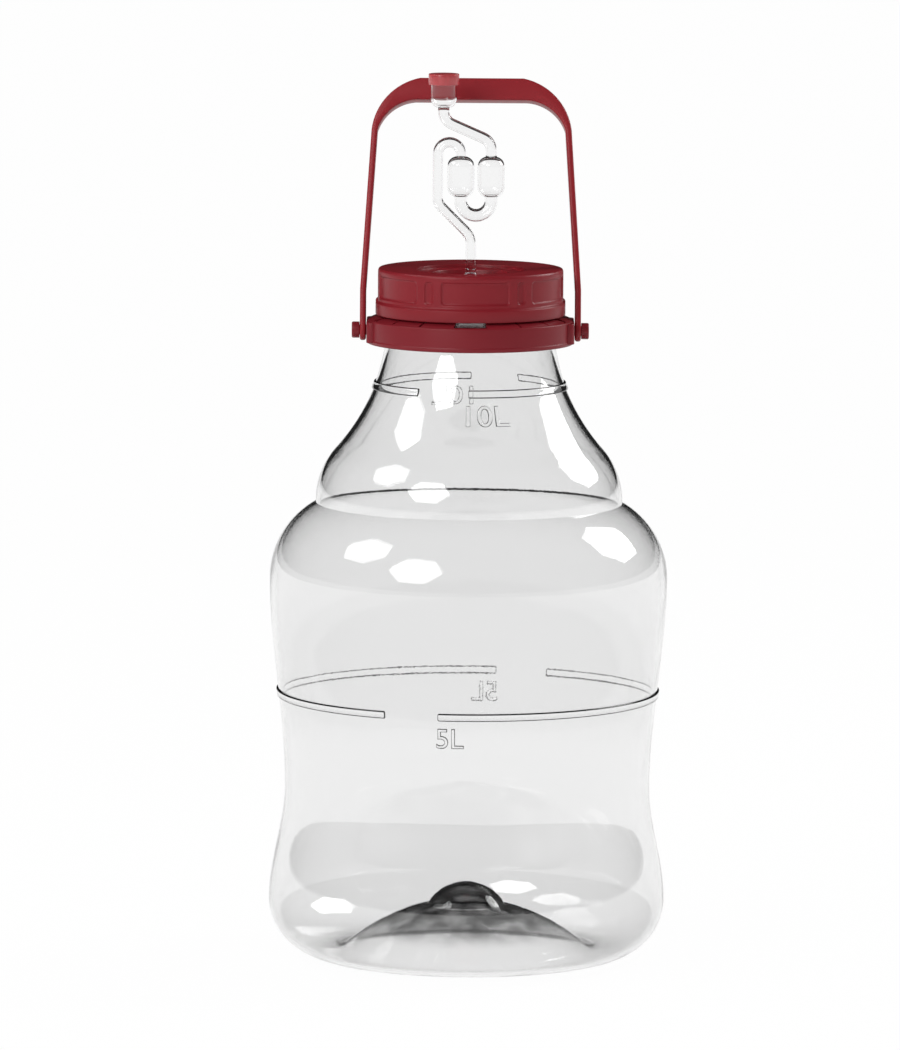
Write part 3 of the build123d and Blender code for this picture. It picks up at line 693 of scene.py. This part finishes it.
def makeRing():
    low, top, skirtIn, lip = ring["low"], ring["top"], ring["skirtIn"], ring["lip"]
    lipTop = low + ring["lipHeight"]
    outline = softCorners([
        (ring["innerLow"], low, 0.4), (ring["collar"], low, 0.4), (ring["collar"], ring["roofIn"], 0.4),
        (skirtIn, ring["roofOut"], 0.4), (skirtIn, low, 0.4), (lip, low, 0.7), (lip, lipTop, 0.2),
        (ring["skirt"], lipTop + ring["lipSlope"], 0.2), (ring["skirt"], ring["coneLow"], 0.7),
        (*ring["coneBend"], 0.6), (*ring["coneTop"], 0.2), (ring["step"], top, 0.35),
        (ring["innerTop"], top, 0.3)], 4)
    shell = turned("carryRing", outline, ring["segments"], ringPlastic)
    cuts = []
    cutLow, cutHigh = top - ring["cutDepth"], top + ring["overrun"]
    inner, outer = ring["cutFrom"], ring["cutReach"]
    block = [(inner, cutLow), (outer, cutLow), (outer, cutHigh), (inner, cutHigh)]
    for width, angles in ring["cuts"]:
        turn = math.degrees(width / ring["cutAt"])
        for angle in angles:
            cuts.append(wound("ringCut", block, (inner, (cutLow + cutHigh) / 2), angle - 90 - turn / 2, turn,
                              ringPlastic, endRound=tiny, endDrop=0.0, copies=2, stations=8))
    combine(shell, cuts, "DIFFERENCE")
    spread, soft = ring["earSpread"], ring["earRound"]
    corner = arcPoints((ring["earOut"] - soft, ring["earHalf"] - soft), soft, 90, 0, 6)
    ear = arcPoints((0, 0), ring["earRoot"], -spread, spread, spread) + corner
    ear += [(x, -y) for x, y in reversed(corner)]
    ears = []
    for turn in (0, 180):
        piece = prism("ringEar", ear, ring["earLow"], ring["earHigh"], ringPlastic)
        ears.append(faceOut(shifted(bevelled(piece, ring["earEdge"], 3, 50), turnedBy(turn, "Z"))))
    combine(shell, ears, "UNION")
    holes = [rodAlongX("pinHole", ring["hole"], side * ring["holeFrom"], side * ring["holeTo"], ring["pivot"],
                       ringPlastic) for side in (-1, 1)]
    return combine(shell, holes, "DIFFERENCE")


finishPiece(makeRing(), "carryRing", "jar_body", "red_plastic", "carry_ring")

# Headed pins that hold the handle's legs
pins = {"radius": 2.9, "head": 4.65, "headFrom": 63.15, "headTo": 67.55, "tail": 53.1, "rounding": 0.9}


def makePin(turn):
    outline = softCorners([
        (0, pins["tail"], 0), (pins["radius"], pins["tail"], 0.4), (pins["radius"], pins["headFrom"], 0),
        (pins["head"], pins["headFrom"], 0.3), (pins["head"], pins["headTo"], pins["rounding"]),
        (0, pins["headTo"], 0)], 5)
    return lying("pivotPin", outline, ring["pivot"], ringPlastic, turn)


finishPiece(makePin(0), "pivotPinRight", "jar_body", "red_plastic", "pivot_pin_right")
finishPiece(makePin(180), "pivotPinLeft", "jar_body", "red_plastic", "pivot_pin_left")

# Handle: a flat bow with softly rounded edges that leans back at rest
handle = {
    "lean": 15.0, "legIn": 59.45, "legOut": 62.95, "legWidth": 12.0, "leanIn": 5.8, "topThick": 3.6,
    "rise": 145.2, "grip": 12.7, "gripHalf": 29.6, "gripInner": 32.0, "cornerDrop": 30.0,
    "outerBend": (0.62, 0.30), "innerBend": (0.72, 0.58), "straight": 23.0, "edge": 1.3, "hole": 2.95,
    "overrun": 9.0, "blockHalf": 90.0, "holeHalf": 80.0,
}


def arcThrough(first, middle, last, count):
    (ax, ay), (bx, by), (cx, cy) = first, middle, last
    d = 2 * (ax * (by - cy) + bx * (cy - ay) + cx * (ay - by))
    ux = ((ax**2 + ay**2) * (by - cy) + (bx**2 + by**2) * (cy - ay) + (cx**2 + cy**2) * (ay - by)) / d
    uy = ((ax**2 + ay**2) * (cx - bx) + (bx**2 + by**2) * (ax - cx) + (cx**2 + cy**2) * (bx - ax)) / d
    start = math.degrees(math.atan2(ay - uy, ax - ux))
    sweep = (math.degrees(math.atan2(cy - uy, cx - ux)) - start + 180) % 360 - 180
    return arcPoints((ux, uy), math.hypot(ax - ux, ay - uy), start, start + sweep, count)


def makeHandle():
    pivot, deep = ring["pivot"], handle["legWidth"] / 2
    top, foot, straight = pivot + handle["rise"], pivot - deep, pivot + handle["straight"]
    corner, inner = top - handle["cornerDrop"], top - handle["grip"]
    outX = handle["legOut"] - handle["leanIn"]
    inX = outX - handle["topThick"]
    gripOut, gripIn = handle["gripHalf"], handle["gripInner"]
    legOut, legIn = handle["legOut"], handle["legIn"]
    outerMiddle = (gripOut + (outX - gripOut) * handle["outerBend"][0],
                   top - handle["cornerDrop"] * handle["outerBend"][1])
    innerMiddle = (gripIn + (inX - gripIn) * handle["innerBend"][0],
                   corner + (inner - corner) * handle["innerBend"][1])
    half = joinRuns(
        arcThrough((gripOut, top), outerMiddle, (outX, corner), 16),
        [(legOut, straight), (legOut, foot), (legIn, foot), (legIn, straight)],
        arcThrough((inX, corner), innerMiddle, (gripIn, inner), 16))
    outline = half + [(-x, z) for x, z in reversed(half)]
    bow = prism("handleBow", outline, -deep, deep, handlePlastic, "Y")
    # seen from the side, the legs end in half rounds about the pivot
    side = arcPoints((0, pivot), deep, -180, 0, 20)
    side += [(way * (deep + tiny), top + handle["overrun"]) for way in (1, -1)]
    block = prism("handleSide", side, -handle["blockHalf"], handle["blockHalf"], handlePlastic)
    shifted(block, Matrix(((0, 0, 1, 0), (1, 0, 0, 0), (0, 1, 0, 0), (0, 0, 0, 1))))
    combine(bow, [faceOut(block)], "INTERSECT")
    bevelled(bow, handle["edge"], 4, 40)
    reach = handle["holeHalf"]
    combine(bow, [rodAlongX("legHole", handle["hole"], -reach, reach, pivot, handlePlastic)], "DIFFERENCE")
    return faceOut(shifted(bow, raisedBy(pivot) @ turnedBy(-handle["lean"], "X") @ raisedBy(-pivot)))


finishPiece(makeHandle(), "handleBow", "handle_bow", "red_plastic", "handle")

# Screw lid with pressed-in side panels, a sunk middle and the bung's well
lid = {
    "top": 395.1, "low": 368.7, "side": 52.8, "crownHeight": 2.0, "crownIn": 1.1, "dish": 30.7,
    "dishFloor": 392.4, "well": 22.0, "wellLow": 21.5, "wellFloor": 386.1, "wellUnder": 383.7, "hole": 6.2,
    "skin": 2.4, "seat": 391.7, "bore": 50.0, "stepHigh": 376.1, "stepSlope": 0.5, "beadBore": 51.8,
    "flange": 54.1, "flangeTop": 376.2, "flangeEdge": 0.9, "flangeFoot": (0.2, 0.1), "segments": 540,
    "wallFrom": 376.9, "wallGap": 2.2, "wallRows": 34, "panelDepth": 0.9, "panelLow": 378.1,
    "panelHigh": 391.7, "panelStart": 3.0, "wideTurn": 44.0, "narrowTurn": 6.2, "panelCorner": 2.6,
    "panelSoft": 0.5, "panelWall": 0.2,
    "threadHeight": 377.4, "threadHalf": ((-0.4, 1.5, 0), (0.1, 1.3, 0.2), (1.75, 0.8, 0.4)),
    "threadEnd": 1.5, "threadLead": 24.0, "threadTurn": 60.0, "threadStart": -17.5,
    "lugRadius": 2.4, "lugHeight": 376.1, "lugAt": 51.7, "lugStretch": 1.5,
}


# Presses soft-edged panels into the outer wall, a wide and a narrow one in each sixth of a turn
def makePanelTree():
    tree, given, calc = newTree("pressSidePanels", {
        "Depth": 0.0009, "Wide Half": 0.02, "Narrow Half": 0.003, "Half Height": 0.007,
        "Middle Height": 0.385, "Corner": 0.0026, "Soft": 0.0005, "Start": 0.0, "Wall From": 0.0524})
    sixth = math.pi / 3
    place = addNode(tree, "GeometryNodeInputPosition")
    parts = addNode(tree, "ShaderNodeSeparateXYZ", {0: place}).outputs
    flat, radius = addRadius(tree, place)
    angle = calc("SUBTRACT", calc("ARCTAN2", parts["Y"], parts["X"]), given["Start"])
    upward = calc("ABSOLUTE", calc("SUBTRACT", parts["Z"], given["Middle Height"]))
    outZ = calc("SUBTRACT", upward, calc("SUBTRACT", given["Half Height"], given["Corner"]))
    masks = []
    for label, offset in (("Narrow Half", 0.0), ("Wide Half", sixth / 2)):
        wrapped = calc("WRAP", calc("SUBTRACT", angle, offset), sixth / 2, -sixth / 2)
        across = calc("ABSOLUTE", calc("MULTIPLY", wrapped, radius))
        outX = calc("SUBTRACT", across, calc("SUBTRACT", given[label], given["Corner"]))
        both = addNode(tree, "ShaderNodeCombineXYZ", {"X": outX, "Y": outZ})
        beyond = addVector(tree, "MAXIMUM", {0: both, 1: (0.0, 0.0, 0.0)})
        outside = addVector(tree, "LENGTH", {0: beyond}).outputs["Value"]
        inside = calc("MINIMUM", calc("MAXIMUM", outX, outZ), 0.0)
        distance = calc("SUBTRACT", calc("ADD", outside, inside), given["Corner"])
        masks.append(addRange(tree, calc("DIVIDE", distance, given["Soft"]), 0.0, -2.0, kind="SMOOTHSTEP"))
    onWall = calc("GREATER_THAN", radius, given["Wall From"])
    deep = calc("MULTIPLY", calc("MULTIPLY", calc("MAXIMUM", *masks), onWall), given["Depth"])
    offset = addVector(tree, "SCALE", {0: addVector(tree, "NORMALIZE", {0: flat}),
                                       "Scale": calc("MULTIPLY", deep, -1.0)})
    pressed = addNode(tree, "GeometryNodeSetPosition", {"Geometry": given["Geometry"], "Offset": offset})
    return closeTree(tree, given, pressed)


def makeLid():
    side, top, low, skin, bore = lid["side"], lid["top"], lid["low"], lid["skin"], lid["bore"]
    dish, well, wellLow, hole = lid["dish"], lid["well"], lid["wellLow"], lid["hole"]
    floor, wellFloor, wellUnder = lid["dishFloor"], lid["wellFloor"], lid["wellUnder"]
    wallFrom, wallTo, rows = lid["wallFrom"], top - lid["wallGap"], lid["wallRows"]
    wallPoints = [(side, wallFrom + (wallTo - wallFrom) * step / rows) for step in range(rows + 1)]
    crown = [(side - lid["crownIn"] * (1 - math.cos(math.radians(a))),
              top - lid["crownHeight"] * (1 - math.sin(math.radians(a)))) for a in range(0, 91, 15)]
    inside = softCorners([
        (dish, top, 0.6), (dish, floor, 0.4), (well, floor, 0.6), (wellLow, wellFloor, 0.6),
        (hole, wellFloor, 0.2), (hole, wellUnder, 0.2), (wellLow + skin, wellUnder, 0.8),
        (well + skin, floor - skin, 0.5), (dish + skin, floor - skin, 0.3), (dish + skin, lid["seat"], 0.3),
        (bore, lid["seat"], 0.4), (bore, lid["stepHigh"], 0.3),
        (lid["beadBore"], lid["stepHigh"] - lid["stepSlope"], 0.2), (lid["beadBore"], low, 0.3),
        (lid["flange"], low, 0.5), (lid["flange"], lid["flangeTop"] - lid["flangeEdge"], 0.5),
        (side + lid["flangeFoot"][0], lid["flangeTop"] + lid["flangeFoot"][1], 0.3)], 3)
    shell = turned("screwLid", joinRuns(wallPoints, crown, inside), lid["segments"], redPlastic)
    runTree(shell, makePanelTree(), {
        "Depth": lid["panelDepth"] * mm, "Wide Half": math.radians(lid["wideTurn"] / 2) * side * mm,
        "Narrow Half": math.radians(lid["narrowTurn"] / 2) * side * mm,
        "Half Height": (lid["panelHigh"] - lid["panelLow"]) / 2 * mm,
        "Middle Height": (lid["panelHigh"] + lid["panelLow"]) / 2 * mm, "Corner": lid["panelCorner"] * mm,
        "Soft": lid["panelSoft"] * mm, "Start": math.radians(lid["panelStart"]),
        "Wall From": (side - lid["panelWall"]) * mm, "Material": redPlastic})
    tools = [threadRidges("lidThread", lid, bore, -1, 40, redPlastic)]
    place = (Matrix.Translation((lid["lugAt"] * mm, 0, lid["lugHeight"] * mm))
             @ Matrix.Diagonal((1, lid["lugStretch"], 1, 1)))
    for turn in (0, 180):
        ball = turned("lidLug", arcPoints((0, 0), lid["lugRadius"], -90, 90, 12), 24, redPlastic)
        tools.append(faceOut(shifted(ball, turnedBy(turn, "Z") @ place)))
    return combine(shell, tools, "UNION")


finishPiece(makeLid(), "screwLid", "screw_lid", "red_plastic", "lid")

# Foam liner under the lid
seal = {"inside": 42.5, "outside": 48.6, "low": 388.5, "high": 391.7, "edge": 0.4}
linerCorners = [(seal[radius], seal[height], seal["edge"]) for radius, height in (
    ("inside", "low"), ("outside", "low"), ("outside", "high"), ("inside", "high"))]
finishPiece(turned("lidLiner", softCorners(linerCorners), 160, sealFoam), "lidLiner", "seal", "seal_foam",
            "lid_seal")

# Soft bung whose groove holds the well's floor
bung = {
    "bore": 2.4, "top": 390.1, "topRadius": 5.7, "collar": 7.65, "collarSide": 1.0, "floor": 386.1,
    "under": 383.7, "groove": 6.1, "flange": 8.95, "flangeHeight": 0.9, "tail": 6.1, "tailHeight": 6.4,
    "edge": 0.3,
}


def makeBung():
    edge, floor, under = bung["edge"], bung["floor"], bung["under"]
    low = under - bung["flangeHeight"]
    outline = softCorners([
        (bung["bore"], bung["top"], edge), (bung["topRadius"], bung["top"], edge),
        (bung["collar"], floor + bung["collarSide"], edge), (bung["collar"], floor, 0.2),
        (bung["groove"], floor, 0.1), (bung["groove"], under, 0.1),
        (bung["flange"], under, edge), (bung["flange"], low, edge), (bung["tail"], low, 0.2),
        (bung["tail"], low - bung["tailHeight"], 0.5), (bung["bore"], low - bung["tailHeight"], edge)], 4)
    return turned("softBung", outline, 72, softWhite)


finishPiece(makeBung(), "softBung", "screw_lid", "soft_white", "bung")

# Airlock: one bent tube with two bulbs and a cup, written from the underside of its stop
airlock = {
    "stopHeight": 390.1, "wall": 0.6, "tip": 2.35, "tipHeight": 4.2, "stop": 3.75, "stopTop": 3.1,
    "stopSoft": 0.1, "stopRise": 2.3, "legTube": 2.95, "stemBend": 22.9, "legBend": 42.0, "legX": -19.1,
    "arch": 70.2, "bulbLow": 45.6, "bulbHigh": 68.6, "bulb": 7.75, "bulbRound": 5.6, "leftX": -6.05,
    "rightX": 11.2, "trapTube": 3.7, "trap": 43.7, "topTube": 3.2, "cupX": -16.0, "rightKnee": 77.3,
    "cupKnee": 89.2, "cupLow": 96.5, "cupSide": 102.5, "cup": 7.5, "cupNeck": 3.5, "neckStep": 0.15,
    "rim": 114.5, "rimRadius": 8.0, "rimHeight": 0.9, "rimSoft": 0.25, "rimFlare": 0.3,
    "rimStep": (0.05, 0.15), "knee": 8.0, "stemKnee": 12.0, "soft": 0.2, "funnel": (4.0, 4.8, 5.0),
    "cupRow": 4.0, "gap": 0.5, "spacing": 3.0, "segments": 64,
}


def roundedPath(points, roundings):
    # places and headings along straight runs whose corners are arcs; headings in radians
    path = []
    previous = Vector(points[0])
    for index in range(1, len(points) - 1):
        corner = Vector(points[index])
        inWay = (corner - Vector(points[index - 1])).normalized()
        outWay = (Vector(points[index + 1]) - corner).normalized()
        bend = inWay.angle(outWay)
        reach = roundings[index - 1] * math.tan(bend / 2)
        start = corner - inWay * reach
        heading = math.atan2(inWay.y, inWay.x)
        path += straightRun(previous, start, heading)
        turnWay = 1 if inWay.x * outWay.y - inWay.y * outWay.x > 0 else -1
        center = start + Vector((-inWay.y, inWay.x)) * roundings[index - 1] * turnWay
        arm = start - center
        steps = max(4, round(math.degrees(bend) / 5))
        for step in range(1, steps + 1):
            turn = turnWay * bend * step / steps
            place = center + Vector((arm.x * math.cos(turn) - arm.y * math.sin(turn),
                                     arm.x * math.sin(turn) + arm.y * math.cos(turn)))
            path.append((place, heading + turn))
        previous = path[-1][0]
    return path + straightRun(previous, Vector(points[-1]), path[-1][1])[1:]


def straightRun(start, end, heading):
    count = max(1, round((end - start).length / airlock["spacing"]))
    return [(start.lerp(end, step / count), heading) for step in range(count + 1)]


def halfTurnPath(fromX, toX, height, sweep, heading, steps=36):
    middle, radius = (fromX + toX) / 2, (toX - fromX) / 2
    return [(Vector(point), heading + math.radians(sweep * step / steps))
            for step, point in enumerate(arcPoints((middle, height), radius, 180, 180 + sweep, steps))]


def bulbRadius(height, tube, inset):  # the larger of tube and bulb, blended where they meet
    low, high = airlock["bulbLow"] + inset, airlock["bulbHigh"] - inset
    rounding, side = airlock["bulbRound"] - inset, airlock["bulb"] - inset
    if height <= low or height >= high:
        return tube
    edge = min(height - low, high - height, rounding)
    radius = side - rounding + math.sqrt(max(0.0, rounding ** 2 - (rounding - edge) ** 2))
    return max(tube, radius)


def stemStations(inset):  # (height, radius) up the stem, and where the leg's path begins
    tip, rise, soft = airlock["tip"] - inset, airlock["stopRise"], airlock["soft"]
    bottom = -airlock["tipHeight"]
    if inset:
        low, high, first = airlock["funnel"]
        return [(bottom, tip), (low, tip), (high, airlock["legTube"] - inset)], first
    stop, leg = airlock["stop"], airlock["legTube"]
    return [(bottom, tip - airlock["rimSoft"]), (bottom + soft, tip), (-tiny, tip), (0.0, stop - soft),
            (soft, stop), (rise - soft, airlock["stopTop"] + airlock["stopSoft"]), (rise, leg)
            ], rise + airlock["gap"]


def cupStations(inset):  # (height, radius) up the cup to its rim
    side, rim, soft, edge = airlock["cup"] - inset, airlock["rim"], airlock["rimSoft"], airlock["rimRadius"]
    low, neck = airlock["cupLow"] + inset, airlock["cupNeck"] - inset
    flare, (stepUp, stepIn) = airlock["rimFlare"], airlock["rimStep"]
    stations = [(low - airlock["neckStep"], airlock["topTube"] - inset)] if inset else []
    for step in range(19):
        t = math.radians(5 * step)
        stations.append((airlock["cupSide"] - (airlock["cupSide"] - low) * math.cos(t),
                         neck + (side - neck) * math.sin(t)))
    stations.append((rim - airlock["cupRow"], side))
    if inset:
        return stations + [(rim - flare, side), (rim, side + flare)]
    under = rim - airlock["rimHeight"]
    return stations + [(under, side), (under + stepUp, edge - stepIn), (under + soft, edge),
                       (rim - soft, edge), (rim, edge - soft)]


def airlockStations(inset):  # (x, z, heading, radius) from the tip up to the rim
    up, down = math.pi / 2, -math.pi / 2
    legX, leftX, rightX, cupX = airlock["legX"], airlock["leftX"], airlock["rightX"], airlock["cupX"]
    leg, trap, top = [airlock[name] - inset for name in ("legTube", "trapTube", "topTube")]
    arch, knee, bulbTop, gap = airlock["arch"], airlock["knee"], airlock["bulbHigh"], airlock["gap"]
    middle = (airlock["bulbLow"] + bulbTop) / 2
    stem, first = stemStations(inset)
    stations = [(0, z, up, radius) for z, radius in stem]

    def follow(path, radius):
        stations.extend((place.x, place.y, heading, radius) for place, heading in path)

    follow(roundedPath([(0, first), (0, airlock["stemBend"]), (legX, airlock["legBend"]), (legX, arch)],
                       [airlock["stemKnee"], knee]), leg)
    follow(halfTurnPath(legX, leftX, arch, -180, up)[1:], leg)
    curve = [airlock["bulbRound"] * (1 - math.cos(math.radians(t))) for t in range(0, 91, 5)]
    bulbHeights = ([bulbTop - inset - bend for bend in curve]
                   + [airlock["bulbLow"] + inset + bend for bend in reversed(curve)])
    for height in bulbHeights:
        stations.append((leftX, height, down, bulbRadius(height, leg if height > middle else trap, inset)))
    follow(halfTurnPath(leftX, rightX, airlock["trap"], 180, down), trap)
    for height in reversed(bulbHeights):
        stations.append((rightX, height, up, bulbRadius(height, trap if height < middle else top, inset)))
    follow(roundedPath([(rightX, bulbTop + 2 * gap), (rightX, airlock["rightKnee"]),
                        (cupX, airlock["cupKnee"]), (cupX, airlock["cupLow"] - gap)], [knee, knee]), top)
    return stations + [(cupX, z, up, radius) for z, radius in cupStations(inset)]


def makeAirlock():
    loop = airlockStations(0.0) + list(reversed(airlockStations(airlock["wall"])))
    loop.append(loop[0])
    sides = [part for x, z, heading, radius in loop for part in (math.sin(heading), 0.0, -math.cos(heading))]
    return ringed("airlock", [(x, 0, z + airlock["stopHeight"]) for x, z, heading, radius in loop],
                  [radius for x, z, heading, radius in loop], sides, airlock["segments"], clearStyrene)


finishPiece(makeAirlock(), "airlock", "airlock", "clear_styrene", "airlock_tube", "airlock_cup")

# Dust cap on the airlock's cup
cap = {"radius": 8.75, "inside": 8.3, "height": 6.2, "top": 505.8, "under": 504.6, "x": -16.0, "edge": 0.6}
capLow = cap["top"] - cap["height"]
capCorners = [
    (0, cap["under"], 0), (cap["inside"], cap["under"], 0.3), (cap["inside"], capLow, 0.1),
    (cap["radius"], capLow, 0.15), (cap["radius"], cap["top"], cap["edge"]), (0, cap["top"], 0)]
capPiece = turned("dustCap", softCorners(capCorners, 4), 72, capRed)
shifted(capPiece, Matrix.Translation((cap["x"] * mm, 0, 0)))
finishPiece(capPiece, "dustCap", "cap", "cap_red", "airlock_cap")


# Studio: a pale floor that reaches the horizon, a dark ceiling and three large six-sided soft boxes.
# A soft box has its azimuth from the camera's side to the right, its elevation, its radius and its strength.
# Its radius, its distance and the height at which it aims are in metres.
studio = {
    "floor": 40000.0, "floorLevel": -0.3, "floorSeen": 0.98, "floorMirrored": 0.95, "ambient": 0.5,
    "ceiling": 0.01, "haze": 0.02, "hazeHigh": 0.3, "horizon": 0.005, "boxDistance": 1.8, "aim": 0.25,
    "softBoxes": {
        "softBoxFront": (-33, 28, 0.50, 6.0),
        "softBoxLeft": (-78, 41, 0.45, 4.5),
        "softBoxRight": (115, 31, 0.54, 7.0),
    },
}


def addRays(tree, calc):  # camera rays, and the rays that are mirrored or pass through
    rays = addNode(tree, "ShaderNodeLightPath").outputs
    return rays["Is Camera Ray"], calc("MAXIMUM", rays["Is Glossy Ray"], rays["Is Transmission Ray"])


def makeFloor():
    reach, level = studio["floor"], studio["floorLevel"]
    floor = newObject("studioFloor", [(-reach, -reach, level), (reach, -reach, level), (reach, reach, level),
                                      (-reach, reach, level)], faces=[(0, 1, 2, 3)])
    material, tree = newMaterial("paleStudioFloor")
    calc = mathFor(tree)
    matt = addNode(tree, "ShaderNodeBsdfDiffuse", {"Color": paint("#F6F6F6")})
    white = addNode(tree, "ShaderNodeEmission", {"Color": paint("#FFFFFF"), "Strength": 1.0})
    seen, clear = addRays(tree, calc)
    share = calc("MAXIMUM", calc("MULTIPLY", seen, studio["floorSeen"]),
                 calc("MULTIPLY", clear, studio["floorMirrored"]))
    both = addNode(tree, "ShaderNodeMixShader", {0: share, 1: matt, 2: white})
    addNode(tree, "ShaderNodeOutputMaterial", {"Surface": both})
    floor.data.materials.append(material)


def makeWorld():
    world = bpy.data.worlds.new("studioWorld")
    bpy.context.scene.world = world
    world.use_nodes = True
    tree = world.node_tree
    tree.nodes.clear()
    calc = mathFor(tree)
    way = addNode(tree, "ShaderNodeTexCoord").outputs["Generated"]
    height = addNode(tree, "ShaderNodeSeparateXYZ", {0: way}).outputs["Z"]
    edge = addRange(tree, height, -studio["horizon"], studio["horizon"], 1.0, studio["haze"])
    fade = addRange(tree, height, 0.0, studio["hazeHigh"], 1.0, studio["ceiling"] / studio["haze"])
    ambient, mirrored, white = [
        addNode(tree, "ShaderNodeBackground", {"Color": paint("#FFFFFF"), "Strength": strength})
        for strength in (studio["ambient"], calc("MULTIPLY", edge, fade), 1.0)]
    seen, clear = addRays(tree, calc)
    inner = addNode(tree, "ShaderNodeMixShader", {0: clear, 1: ambient, 2: mirrored})
    outer = addNode(tree, "ShaderNodeMixShader", {0: seen, 1: inner, 2: white})
    addNode(tree, "ShaderNodeOutputWorld", {"Surface": outer})


def addSoftBox(name, azimuth, elevation, radius, strength):
    turn, rise = math.radians(azimuth), math.radians(elevation)
    target = Vector((0, 0, studio["aim"]))
    way = Vector((math.sin(turn) * math.cos(rise), -math.cos(turn) * math.cos(rise), math.sin(rise)))
    box = newObject(name, [(x / mm, y / mm, 0) for x, y in arcPoints((0, 0), radius, 0, 300, 5)],
                    faces=[(0, 1, 2, 3, 4, 5)])
    material, tree = newMaterial(name)
    glow = addNode(tree, "ShaderNodeEmission", {"Color": paint("#FFFFFF"), "Strength": strength})
    addNode(tree, "ShaderNodeOutputMaterial", {"Surface": glow})
    box.data.materials.append(material)
    facing = way.to_track_quat("Z", "Y").to_matrix().to_4x4()
    shifted(box, Matrix.Translation(target + way * studio["boxDistance"]) @ facing)
    box.visible_camera = False


makeFloor()
makeWorld()
for boxName, boxValues in studio["softBoxes"].items():
    addSoftBox(boxName, *boxValues)

# Camera: a long lens a little above the jar, as in the photo (place and reach in metres)
camera = {"focalPixels": 9391, "photoPixels": 1050, "sensor": 36.0, "reach": 200.0,
          "place": (-0.0108, -5.324, 0.8966), "pitch": 6.95, "roll": 0.4}
data = bpy.data.cameras.new("photoCamera")
data.sensor_width = camera["sensor"]
data.lens = camera["focalPixels"] / camera["photoPixels"] * camera["sensor"]
data.clip_end = camera["reach"]
cameraObject = bpy.data.objects.new("photoCamera", data)
bpy.context.scene.collection.objects.link(cameraObject)
cameraObject.matrix_world = (Matrix.Translation(camera["place"]) @ turnedBy(90 - camera["pitch"], "X")
                             @ turnedBy(camera["roll"], "Z"))
bpy.context.scene.camera = cameraObject
bpy.context.scene.view_settings.view_transform = "Standard"
print("studio made")
